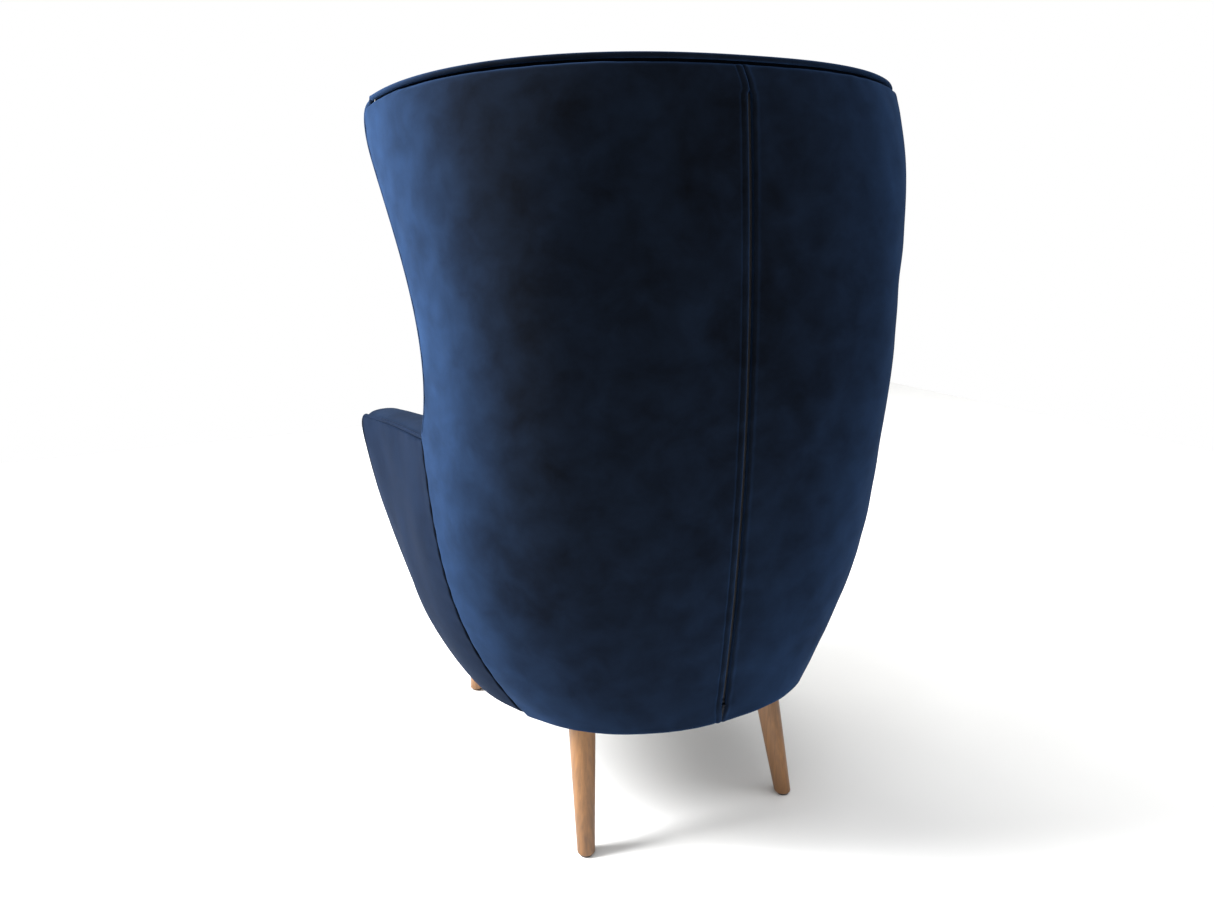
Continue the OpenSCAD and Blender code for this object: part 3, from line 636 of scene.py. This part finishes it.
def seam_levels():
    """Heights of the cushion's lower and upper piping."""
    return CUSHION_LOW + SEAM_IN, CUSHION_HIGH - SEAM_IN


def seat_cushion(outline):
    """Closed cushion form: rings of the outline, z by ring, both faces crowned 1 - f^4."""
    low, high = seam_levels()
    shares = np.concatenate([np.linspace(0.02, 0.9, 14), np.linspace(0.93, 1, 5)])
    crown = 1 - shares ** 4
    rise = [(f, low - CROWN_LOW * c) for f, c in zip(shares, crown)]
    sides = np.linspace(0.08, 0.92, 12)
    rise += [(1 + SIDE_BULGE * math.sin(math.pi * k), low + (high - low) * k) for k in sides]
    rise += [(f, high + CROWN_HIGH * c) for f, c in zip(shares[::-1], crown[::-1])]
    rings = np.array([np.c_[CUSHION_CENTRE + (outline - CUSHION_CENTRE) * f, np.full(len(outline), z)]
                      for f, z in rise])
    rows, cols = rings.shape[:2]
    faces = quad_faces(rows, cols, wrap_cols=True, turned=True).tolist()
    faces += [list(range(cols)), list(range((rows - 1) * cols, rows * cols))[::-1]]
    return new_piece("seat_cushion", rings.reshape(-1, 3).tolist(), [f[::-1] for f in faces])


def closed_tube(name, loop, radius, sides=12):
    """Round cord along a closed level loop: p + r(cos a * outward + sin a * up)."""
    ahead = unit(np.roll(loop, -1, 0) - np.roll(loop, 1, 0))
    up = np.array([0.0, 0.0, 1.0])
    outward = unit(np.cross(ahead, up))
    a = np.linspace(0, 2 * math.pi, sides, endpoint=False)[None, :, None]
    rings = loop[:, None] + radius * (np.cos(a) * outward[:, None] + np.sin(a) * up)
    return grid_piece(name, rings, wrap_rows=True, wrap_cols=True)


# ---------------------------------------------------------------- legs

FOOT_R, LEG_TOP_R, LEG_RISE = 0.0125, 0.020, 0.200
LEG_LOW, LEG_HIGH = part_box("rear_leg_left")[0].z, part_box("rear_leg_left")[1].z
# Plan of each leg's foot and hip
LEG_LINES = {
    "rear_leg": ((0.166, 0.231), (0.150, 0.187)),
    "front_leg": ((0.178, -0.292), (0.165, -0.249)),
}
LEG_SIDES = 40
SHOULDER_R = 2.5 * MM


def leg(kind, side):
    """Turned leg on its slant: level rings, r growing evenly upwards, with rounded ends."""
    foot, hip = (np.array(p) * [side, 1] for p in LEG_LINES[kind])
    ends = 1 - np.cos(np.linspace(0, math.pi / 2, 7))
    z = np.concatenate([LEG_LOW + SHOULDER_R * ends, np.linspace(LEG_LOW + 6 * MM, LEG_HIGH - 6 * MM, 24),
                        LEG_HIGH - SHOULDER_R * ends[::-1]])
    dip = roll(np.minimum(z - LEG_LOW, LEG_HIGH - z), SHOULDER_R)
    r = FOOT_R + (LEG_TOP_R - FOOT_R) * z / LEG_RISE - dip
    a = np.linspace(0, 2 * math.pi, LEG_SIDES, endpoint=False)
    centre = foot + (hip - foot) * (z / LEG_RISE)[:, None]
    rings = np.stack([centre[:, :1] + r[:, None] * np.cos(a), centre[:, 1:] + r[:, None] * np.sin(a),
                      np.broadcast_to(z[:, None], (len(z), LEG_SIDES))], -1)
    rows, cols = rings.shape[:2]
    faces = quad_faces(rows, cols, wrap_cols=True).tolist()
    faces += [list(range(cols))[::-1], list(range((rows - 1) * cols, rows * cols))]
    name = kind + ("_left" if side > 0 else "_right")
    piece = new_piece(name + "_turned", rings.reshape(-1, 3).tolist(), faces)
    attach(piece, "chair")
    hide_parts(name)
    return piece


# ---------------------------------------------------------------- materials


def colour(hex_code):
    """Linear colour of an sRGB hex code."""
    srgb = np.array([int(hex_code[i:i + 2], 16) for i in (0, 2, 4)]) / 255
    linear = np.where(srgb <= 0.04045, srgb / 12.92, ((srgb + 0.055) / 1.055) ** 2.4)
    return (*linear.tolist(), 1.0)


def add(tree, kind, links=None, stops=(), **settings):
    """Adds a node. Settings are its own properties or, by name, its input values. Links join its
    inputs to a node's first output or to a given output. Stops are a colour ramp's tones."""
    node = tree.nodes.new("ShaderNode" + kind)
    for key, value in settings.items():
        if hasattr(node, key):
            setattr(node, key, value)
        else:
            node.inputs[key.replace("_", " ")].default_value = value
    for key, source in (links or {}).items():
        output = source.outputs[0] if isinstance(source, bpy.types.Node) else source
        tree.links.new(output, node.inputs[key])
    for index, (position, tone) in enumerate(stops):
        node.color_ramp.elements[index].position = position
        node.color_ramp.elements[index].color = colour(tone)
    return node


def blank(name):
    """Empty material, its node tree and the object's own coordinates in it."""
    material = bpy.data.materials.new(name)
    material.use_nodes = True
    tree = material.node_tree
    tree.nodes.clear()
    return material, tree, add(tree, "TexCoord").outputs["Object"]


def velvet(name, deep, lit, sheen_paint_dark, sheen_paint_light, sheen):
    """Short-pile woven velvet: pile laid in blotches 45 to 170 mm wide, with a painted sheen that makes
    the base colour paler where the surface is seen edge-on, and a soft bluish sheen."""
    material, tree, place = blank(name)
    broad = add(tree, "Mapping", {"Vector": place}, Scale=(6, 6, 5))
    narrow = add(tree, "Mapping", {"Vector": place}, Scale=(22, 22, 26))
    fine = add(tree, "Mapping", {"Vector": place}, Scale=(1900, 1900, 1900))
    blotches = add(tree, "TexNoise", {"Vector": broad}, Scale=1.0, Detail=6.0, Roughness=0.55,
                   Distortion=0.25)
    strokes = add(tree, "TexNoise", {"Vector": narrow}, Scale=1.0, Detail=5.0, Roughness=0.6,
                  Distortion=0.3)
    pile = add(tree, "TexNoise", {"Vector": fine}, Scale=1.0, Detail=2.0)
    nap = add(tree, "Math", {0: blotches, 1: strokes}, operation="ADD")
    half = add(tree, "Math", {0: nap}, operation="MULTIPLY")
    half.inputs[1].default_value = 0.5
    body = add(tree, "ValToRGB", {"Fac": half}, stops=((0.34, deep), (0.68, lit)))
    # Painted sheen: the brighter tones that the base colour takes where the surface is seen edge-on.
    edge = add(tree, "ValToRGB", {"Fac": half}, stops=((0.3, sheen_paint_dark), (0.7, sheen_paint_light)))
    facing = add(tree, "LayerWeight", Blend=0.5).outputs["Facing"]
    turn = add(tree, "MapRange", {"Value": facing}, interpolation_type="SMOOTHSTEP", From_Min=0.05,
               From_Max=0.9)
    # Mixes the painted sheen into the base colour by how edge-on the surface is seen.
    base = add(tree, "MixRGB", {"Fac": turn, "Color1": body, "Color2": edge})
    relief = add(tree, "Bump", {"Height": pile}, Strength=0.18, Distance=0.3 * MM)
    surface = add(tree, "BsdfPrincipled", {"Base Color": base, "Normal": relief}, Roughness=0.9,
                  Specular_IOR_Level=0.03, Sheen_Weight=sheen, Sheen_Roughness=0.3,
                  Sheen_Tint=colour("7FA4DC"))
    add(tree, "OutputMaterial", {"Surface": surface})
    return material


def lacquered_wood(name, dark, light, grain=(210, 210, 7), roughness=0.42):
    """Turned straight-grained beech: streaks that run along Z, fine pores, thin matt lacquer."""
    material, tree, place = blank(name)
    lengthwise = add(tree, "Mapping", {"Vector": place}, Scale=grain)
    fine = add(tree, "Mapping", {"Vector": place}, Scale=(1500, 1500, 60))
    broad = add(tree, "Mapping", {"Vector": place}, Scale=(16, 16, 5))
    streaks = add(tree, "TexNoise", {"Vector": lengthwise}, Scale=1.0, Detail=6.0, Roughness=0.6,
                  Distortion=0.35)
    pores = add(tree, "TexNoise", {"Vector": fine}, Scale=1.0, Detail=2.0)
    cloud = add(tree, "TexNoise", {"Vector": broad}, Scale=1.0, Detail=2.0)
    tone = add(tree, "Math", {0: streaks, 1: cloud}, operation="ADD")
    half = add(tree, "Math", {0: tone}, operation="MULTIPLY")
    half.inputs[1].default_value = 0.5
    base = add(tree, "ValToRGB", {"Fac": half}, stops=((0.36, dark), (0.64, light)))
    relief = add(tree, "Bump", {"Height": pores}, Strength=0.12, Distance=0.15 * MM)
    surface = add(tree, "BsdfPrincipled", {"Base Color": base, "Normal": relief}, Roughness=roughness,
                  Coat_Weight=0.12, Coat_Roughness=0.35)
    add(tree, "OutputMaterial", {"Surface": surface})
    return material


def mottled(name, dark, light, size, strength, depth, detail=3.0, **finish):
    """Even finish in two tones that its cells or fibres, about size wide and depth deep, mingle."""
    material, tree, place = blank(name)
    cells = add(tree, "Mapping", {"Vector": place}, Scale=(1 / size,) * 3)
    pattern = add(tree, "TexNoise", {"Vector": cells}, Scale=1.0, Detail=detail)
    base = add(tree, "ValToRGB", {"Fac": pattern}, stops=((0.3, dark), (0.7, light)))
    relief = add(tree, "Bump", {"Height": pattern}, Strength=strength, Distance=depth)
    surface = add(tree, "BsdfPrincipled", {"Base Color": base, "Normal": relief}, **finish)
    add(tree, "OutputMaterial", {"Surface": surface})
    return material


def fibrous(name, dark, light, size, depth, roughness=0.95):
    """Foam, wadding, felt or cloth: matt, with open cells or fibres."""
    return mottled(name, dark, light, size, 0.5, depth, Roughness=roughness)


def plated(name, dark, light, roughness):
    """Plated metal with a faint mottled polish."""
    return mottled(name, dark, light, 1 / 350, 0.08, 0.1 * MM, Metallic=1.0, Roughness=roughness)


def moulded(name, dark, light):
    """Moulded nylon: half matt, with a fine grain."""
    return mottled(name, dark, light, 1 / 900, 0.15, 0.1 * MM, detail=2.0, Roughness=0.48)


FINISHES = {
    # The third and fourth tones of each velvet are its painted sheen.
    "velvet": velvet("navy_velvet", "080B11", "121B29", "17273F", "233A5C", 0.07),
    # Darker copy of the velvet: painted shade on the outer arms and the arm piping.
    "arm_velvet": velvet("navy_velvet_arm_painted_shade", "070A0F", "0D141F", "0C1626", "121F34", 0.025),
    # Darker copy of the velvet: painted shade on the wing and arm edge rolls.
    "roll_velvet": velvet("navy_velvet_roll_painted_shade", "070A10", "0D1420", "0E1828", "162439", 0.05),
    "leg_wood": lacquered_wood("lacquered_beech", "66462A", "97693A"),
    "frame_timber": lacquered_wood("raw_beech", "B08A5C", "D6B788", grain=(90, 90, 9), roughness=0.7),
    "foam": fibrous("cut_foam", "C9B883", "E4D8AC", 1.6 * MM, 0.5 * MM),
    "wadding": fibrous("bonded_wadding", "CFCFCB", "EFEFEC", 4 * MM, 1.5 * MM),
    "felt": fibrous("needled_felt", "7E7A72", "A8A49B", 1.2 * MM, 0.4 * MM),
    "black_cloth": fibrous("dust_cloth", "08080A", "17181A", 0.9 * MM, 0.2 * MM),
    "webbing": fibrous("elastic_webbing", "1B1C1E", "3A3B3E", 1.4 * MM, 0.5 * MM),
    "zinc_steel": plated("zinc_plated_steel", "9FA2A6", "D9DADC", 0.34),
    "glide_plastic": moulded("nylon_glide", "101012", "1E1E20"),
    "zip_nylon": fibrous("zip_nylon", "05070C", "10141D", 0.8 * MM, 0.25 * MM, roughness=0.7),
    "zip_metal": plated("black_nickel_zinc", "0B0D12", "23272F", 0.38),
}


def dress(piece, slot):
    """Gives the piece its finish and no other."""
    piece.data.materials.clear()
    piece.data.materials.append(FINISHES[slot])


def soft(piece, body="chair", stands_for=()):
    """Velvet piece on a body, in place of the frame parts that it stands for, which are hidden."""
    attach(piece, body)
    if stands_for:
        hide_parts(*stands_for)
    dress(piece, "velvet")


# ---------------------------------------------------------------- outer covers

SIDES = {1: "left", -1: "right"}

for side, word in SIDES.items():
    for make, node, under in ((outer_back, "outer_back_", "back_wadding"),
                              (outer_arm, "outer_arm_", "arm_wadding_" + word)):
        panel, flat, flat_area = make(side)
        add_modifier(panel, "SOLIDIFY", thickness=COVER_T, offset=-1.0)
        soft(panel, stands_for=(node + word,))
        if make is outer_arm:
            # Painted shade: the outer arm gets the darker copy of the velvet.
            dress(panel, "arm_velvet")

# ---------------------------------------------------------------- free edge: rolls and piping

WAIST_V = float((WAIST_Z - hem_line(WING_Y[0])) / (top_line(WING_Y[0]) - hem_line(WING_Y[0])))
ARM_LOW_V = 0.03
EDGE_STEP = 4 * MM
ARM_WELT_R = 2.8 * MM

back_route = even_route(back_point, *edge_route(90, 240, WAIST_V + 0.002), EDGE_STEP)
arm_s = np.concatenate([np.ones(90), np.linspace(1, -0.03, 80)[1:]])
arm_v = np.concatenate([rising(ARM_LOW_V, 90), np.ones(79)])
arm_route = even_route(arm_point, arm_s, arm_v, EDGE_STEP)


def welt(name, point, route, r, drop, mirror=False):
    """Piping cord just inside the outer rim: its centre lies 0.95 r in and r + drop under the rim."""
    outer, _, across, out = rim_frame(point, *route)
    path = outer + across * (r * 0.95) - out * (r + drop)
    out = unit(out - across)
    if mirror:
        path, out = mirrored(path), mirrored(out)
    return tube_piece(name, path, r, out)


back_roll = edge_roll("wing_edge_roll", back_point, *back_route, lift=2.5 * MM, drop=8 * MM,
                      welt_gap=2 * WELT_R)
subdivide(back_roll)
soft(back_roll, stands_for=("edge_border",))
# Painted shade: the edge roll gets the darker copy of the velvet.
dress(back_roll, "roll_velvet")
back_welt = welt("wing_edge_piping", back_point, back_route, WELT_R, 0.6 * MM)
soft(back_welt, stands_for=("edge_piping",))
for side, word in SIDES.items():
    arm_roll = edge_roll("arm_edge_roll_" + word, arm_point, *arm_route, lift=6 * MM, drop=9 * MM,
                         welt_gap=2 * WELT_R + MM, mirror=side < 0, seed=35)
    subdivide(arm_roll)
    soft(arm_roll, stands_for=("arm_border_" + word,))
    # Painted shade: the arm edge roll gets the darker copy of the velvet.
    dress(arm_roll, "roll_velvet")
    arm_welt = welt("arm_piping_" + word, arm_point, arm_route, ARM_WELT_R, 0.4 * MM, mirror=side < 0)
    soft(arm_welt, stands_for=("arm_pipings",))
    # Painted shade: the arm piping gets the darker copy of the velvet.
    dress(arm_welt, "arm_velvet")

# ---------------------------------------------------------------- inner pads

WING_S = 0.64
DECK_V = (DECK_Z + 4 * MM - LOW_Z) / (TOP_Z - LOW_Z) - 0.01
ARM_DECK_V = (DECK_Z + 4 * MM - LOW_Z) / (WAIST_Z - LOW_Z)
PAD_TOP_V = 1 - 5 * MM / BACK_RISE
PAD_END_S = 1 - 5 * MM / BACK_RUN

seam_v = np.linspace(DECK_V, PAD_TOP_V, 60)
seam_s = np.linspace(-WING_S, WING_S, 50)
pad_seam = np.concatenate([back_point(-WING_S + 0 * seam_v, seam_v, ON_INNER),
                           back_point(WING_S + 0 * seam_v, seam_v, ON_INNER),
                           back_point(seam_s, DECK_V + 0 * seam_s, ON_INNER),
                           back_point(seam_s, PAD_TOP_V + 0 * seam_s, ON_INNER)])
inner_back = inner_pad("inner_back_pad", back_point, np.linspace(-WING_S, WING_S, 90),
                       np.linspace(DECK_V, PAD_TOP_V, 100), 8 * MM, 7 * MM)
for side, word in SIDES.items():
    wing = inner_pad("inner_wing_pad_" + word, back_point, spaced(WING_S, PAD_END_S, 44),
                     spaced(DECK_V, PAD_TOP_V, 90), 5 * MM, 6 * MM, mirror=side < 0, turned=side < 0)
    soft(wing, stands_for=("inner_wing_" + word, "wing_foam_" + word))
    arm = inner_pad("inner_arm_pad_" + word, arm_point, spaced(0.004, 1 - 5 * MM / ARM_RUN, 44),
                    spaced(ARM_DECK_V, 1 - 4 * MM / ARM_RISE, 40), 6 * MM, 7 * MM,
                    mirror=side < 0, turned=side < 0, seed=47)
    soft(arm, stands_for=("inner_arm_" + word, "arm_foam_" + word))


BORDER_LOW_Z, BORDER_HIGH_Z = 0.208, 0.338
BORDER_LOW_Y, BORDER_HIGH_Y = -0.279, -0.313
BORDER_LOW_HALF, BORDER_HIGH_HALF = 0.188, 0.240
BORDER_CORNER = 22 * MM
BEND_FROM, BEND_TO = 0.7, 0.85


def border_row(u, half, y, end):
    """One level of the front border, u from -1 to 1: a straight front, a quadratic corner on each
    side and a straight return to the arm at end. Its half is A to B to C to D."""
    corner = np.stack([half, y], -1)
    back = unit(end - corner)
    before = corner - np.array([BORDER_CORNER, 0.0])
    after = corner + back * BORDER_CORNER
    start = before * [0.0, 1.0]
    t = np.abs(u)[..., None]
    stretches = ((0, BEND_FROM), (BEND_FROM, BEND_TO), (BEND_TO, 1))
    front, turn, side = (np.clip((t - low) / (high - low), 0, 1) for low, high in stretches)
    bend = before * (1 - turn) ** 2 + 2 * corner * turn * (1 - turn) + after * turn ** 2
    ahead = start + (before - start) * front
    home = after + (end - after) * side
    path = np.where(t < BEND_FROM, ahead, np.where(t < BEND_TO, bend, home))
    return path * np.stack([np.sign(u), np.ones_like(u)], -1)


def border_level(u, w):
    """Plan of the front border at fraction w up, u from -1 to 1, and its height."""
    z = BORDER_LOW_Z + (BORDER_HIGH_Z - BORDER_LOW_Z) * w
    arm_v = (z - BORDER_LOW_Z) / (ARM_FRONT_Z - BORDER_LOW_Z)
    end = arm_point(np.ones_like(z), arm_v, ON_INNER)[..., :2] + np.array([6 * MM, 14 * MM])
    half = BORDER_LOW_HALF + (BORDER_HIGH_HALF - BORDER_LOW_HALF) * w
    y = BORDER_LOW_Y + (BORDER_HIGH_Y - BORDER_LOW_Y) * w
    return np.concatenate([border_row(u, half, y, end), z[..., None]], -1)


def deck_apron():
    """Ledge from the front border's top back to the deck: rows of its top line drawn in by 1 to 0.7."""
    u = np.sin(np.linspace(-1, 1, 61) * math.pi / 2)
    rim = border_level(u, np.ones_like(u))
    centre = np.array([0.0, -0.14, rim[0, 2]])
    share = np.linspace(1.0, 0.7, 8)[:, None, None]
    grid = centre + (rim - centre) * share + np.array([0.0, 0.0, -2 * MM])
    piece = grid_piece("deck_apron", grid)
    add_modifier(piece, "SOLIDIFY", thickness=2 * MM, offset=-1.0)
    return piece


def front_border():
    """Panel under the cushion that wraps back to both arms: it widens upwards, leans forward and is
    crowned by H (1 - e^(-d/k)) from each edge."""
    u = np.sin(np.linspace(-1, 1, 121) * math.pi / 2)[None, :]
    u, w = np.broadcast_arrays(u, spaced(0, 1, 24, fine=0.08)[:, None])
    face = border_level(u, w)
    out = -normals(face)
    across, up = along(face, 1), along(face, 0)
    edges = [across, across[:, -1:] - across, up, up[-1:] - up]
    height = sum(-roll(d, 5 * MM) for d in edges)
    height = height + 5 * MM * np.prod([1 - np.exp(-d / 0.03) for d in edges], axis=0)
    height += 0.8 * MM * waves(across, up, 0.12, 51)
    return closed_pad("front_border_panel", face + out * height[..., None], face - out * 6 * MM, False)


soft(front_border(), stands_for=("front_border_cover", "front_border_pad"))
soft(deck_apron())

outline = cushion_outline()
cushion = seat_cushion(outline)
seam_low, seam_high = seam_levels()
voxel_form(cushion, CELL)
voxel_form(inner_back, CELL)
plump(cushion, lambda p: np.minimum(abs(p[:, 2] - seam_low), abs(p[:, 2] - seam_high)) < 3.5 * MM,
      pressure=4.0, limit=24 * MM, floor_z=CUSHION_LOW)
plump(inner_back, lambda p: near(p, pad_seam, 15 * MM), pressure=2.5, limit=16 * MM)
subdivide(cushion)
subdivide(inner_back)
soft(cushion, body="cushion", stands_for=("cushion_cover", "cushion_core"))
soft(inner_back, stands_for=("inner_back_cover", "inner_back_foam"))
for word, z in (("lower", seam_low), ("upper", seam_high)):
    loop = np.c_[outline + unit(outline - CUSHION_CENTRE) * 1.5 * MM, np.full(len(outline), z)]
    soft(closed_tube("cushion_piping_" + word, loop, 2.6 * MM), body="cushion")

for kind in LEG_LINES:
    for side in SIDES:
        dress(leg(kind, side), "leg_wood")

# ---------------------------------------------------------------- carried-over parts of the frame

slots = {part["node"]: part["material_slot"] for part in frame["record"]["subparts"]}
for name, node in frame["nodes"].items():
    dress(node, slots[name])

# ---------------------------------------------------------------- studio


FLOOR_HALF = 2.8
CAMERA_PLACE = (0.5616, 1.2384, 0.8619)
CAMERA_TURN = (23.556, 14.503, -1.076)
SENSOR_W, LENS = 36.0, 26.41


def area_light(name, place, target, size, power, tint):
    """Soft rectangular light at place, turned to target."""
    data = bpy.data.lights.new(name, "AREA")
    data.shape = "RECTANGLE"
    data.size, data.size_y = size
    data.energy = power
    data.color = colour(tint)[:3]
    light = bpy.data.objects.new(name, data)
    bpy.context.scene.collection.objects.link(light)
    light.location = place
    light.rotation_euler = (Vector(target) - Vector(place)).to_track_quat("-Z", "Y").to_euler()


def white_world(strength):
    """Backdrop that looks white and lights the scene at the given strength."""
    world = bpy.data.worlds.new("studio")
    world.use_nodes = True
    tree = world.node_tree
    background = tree.nodes["Background"]
    background.inputs["Color"].default_value = colour("FFFFFF")
    seen = add(tree, "LightPath").outputs["Is Camera Ray"]
    power = add(tree, "MapRange", {"Value": seen}, To_Min=strength)
    tree.links.new(power.outputs["Result"], background.inputs["Strength"])
    bpy.context.scene.world = world


def studio_floor():
    """Plain pale floor, a little mottled."""
    material, tree, place = blank("studio_floor")
    broad = add(tree, "Mapping", {"Vector": place}, Scale=(3, 3, 3))
    speck = add(tree, "TexNoise", {"Vector": broad}, Scale=1.0, Detail=2.0)
    base = add(tree, "ValToRGB", {"Fac": speck}, stops=((0.3, "F1F1F0"), (0.7, "F6F6F5")))
    surface = add(tree, "BsdfPrincipled", {"Base Color": base}, Roughness=0.9)
    add(tree, "OutputMaterial", {"Surface": surface})
    corners = [(x * FLOOR_HALF, y * FLOOR_HALF, 0) for x, y in ((-1, -1), (1, -1), (1, 1), (-1, 1))]
    floor = new_piece("studio_floor", corners, [(0, 1, 2, 3)])
    floor.data.materials.append(material)


def camera():
    """Camera behind the chair to its left, by heading, downward pitch and roll."""
    heading, pitch, tilt = (math.radians(a) for a in CAMERA_TURN)
    look = np.array([-math.sin(heading) * math.cos(pitch), -math.cos(heading) * math.cos(pitch),
                     -math.sin(pitch)])
    level_right = np.array([-math.cos(heading), math.sin(heading), 0.0])
    level_up = np.cross(level_right, look)
    right = level_right * math.cos(tilt) + level_up * math.sin(tilt)
    up = -level_right * math.sin(tilt) + level_up * math.cos(tilt)
    matrix = np.eye(4)
    matrix[:3, 0], matrix[:3, 1], matrix[:3, 2] = right, up, -look
    matrix[:3, 3] = CAMERA_PLACE
    data = bpy.data.cameras.new("camera")
    data.sensor_fit = "HORIZONTAL"
    data.sensor_width = SENSOR_W
    data.lens = LENS
    shot = bpy.data.objects.new("camera", data)
    bpy.context.scene.collection.objects.link(shot)
    shot.matrix_world = Matrix(matrix.tolist())
    bpy.context.scene.camera = shot


bpy.context.scene.view_settings.view_transform = "Standard"
studio_floor()
white_world(0.30)
area_light("key", (2.5, -0.7, 2.0), (0.2, 0.1, 0.6), (1.0, 1.4), 250, "FFFFFF")
area_light("fill", (-2.4, 1.6, 1.7), (-0.1, 0.1, 0.6), (1.4, 1.8), 9, "F4F8FF")
area_light("front", (0.6, -2.8, 2.2), (0.0, -0.1, 0.5), (2.2, 1.6), 60, "FFFDF8")
area_light("overhead", (0.0, 0.0, 3.8), (0.0, 0.0, 0.0), (6.5, 6.5), 210, "FFFFFF")
camera()
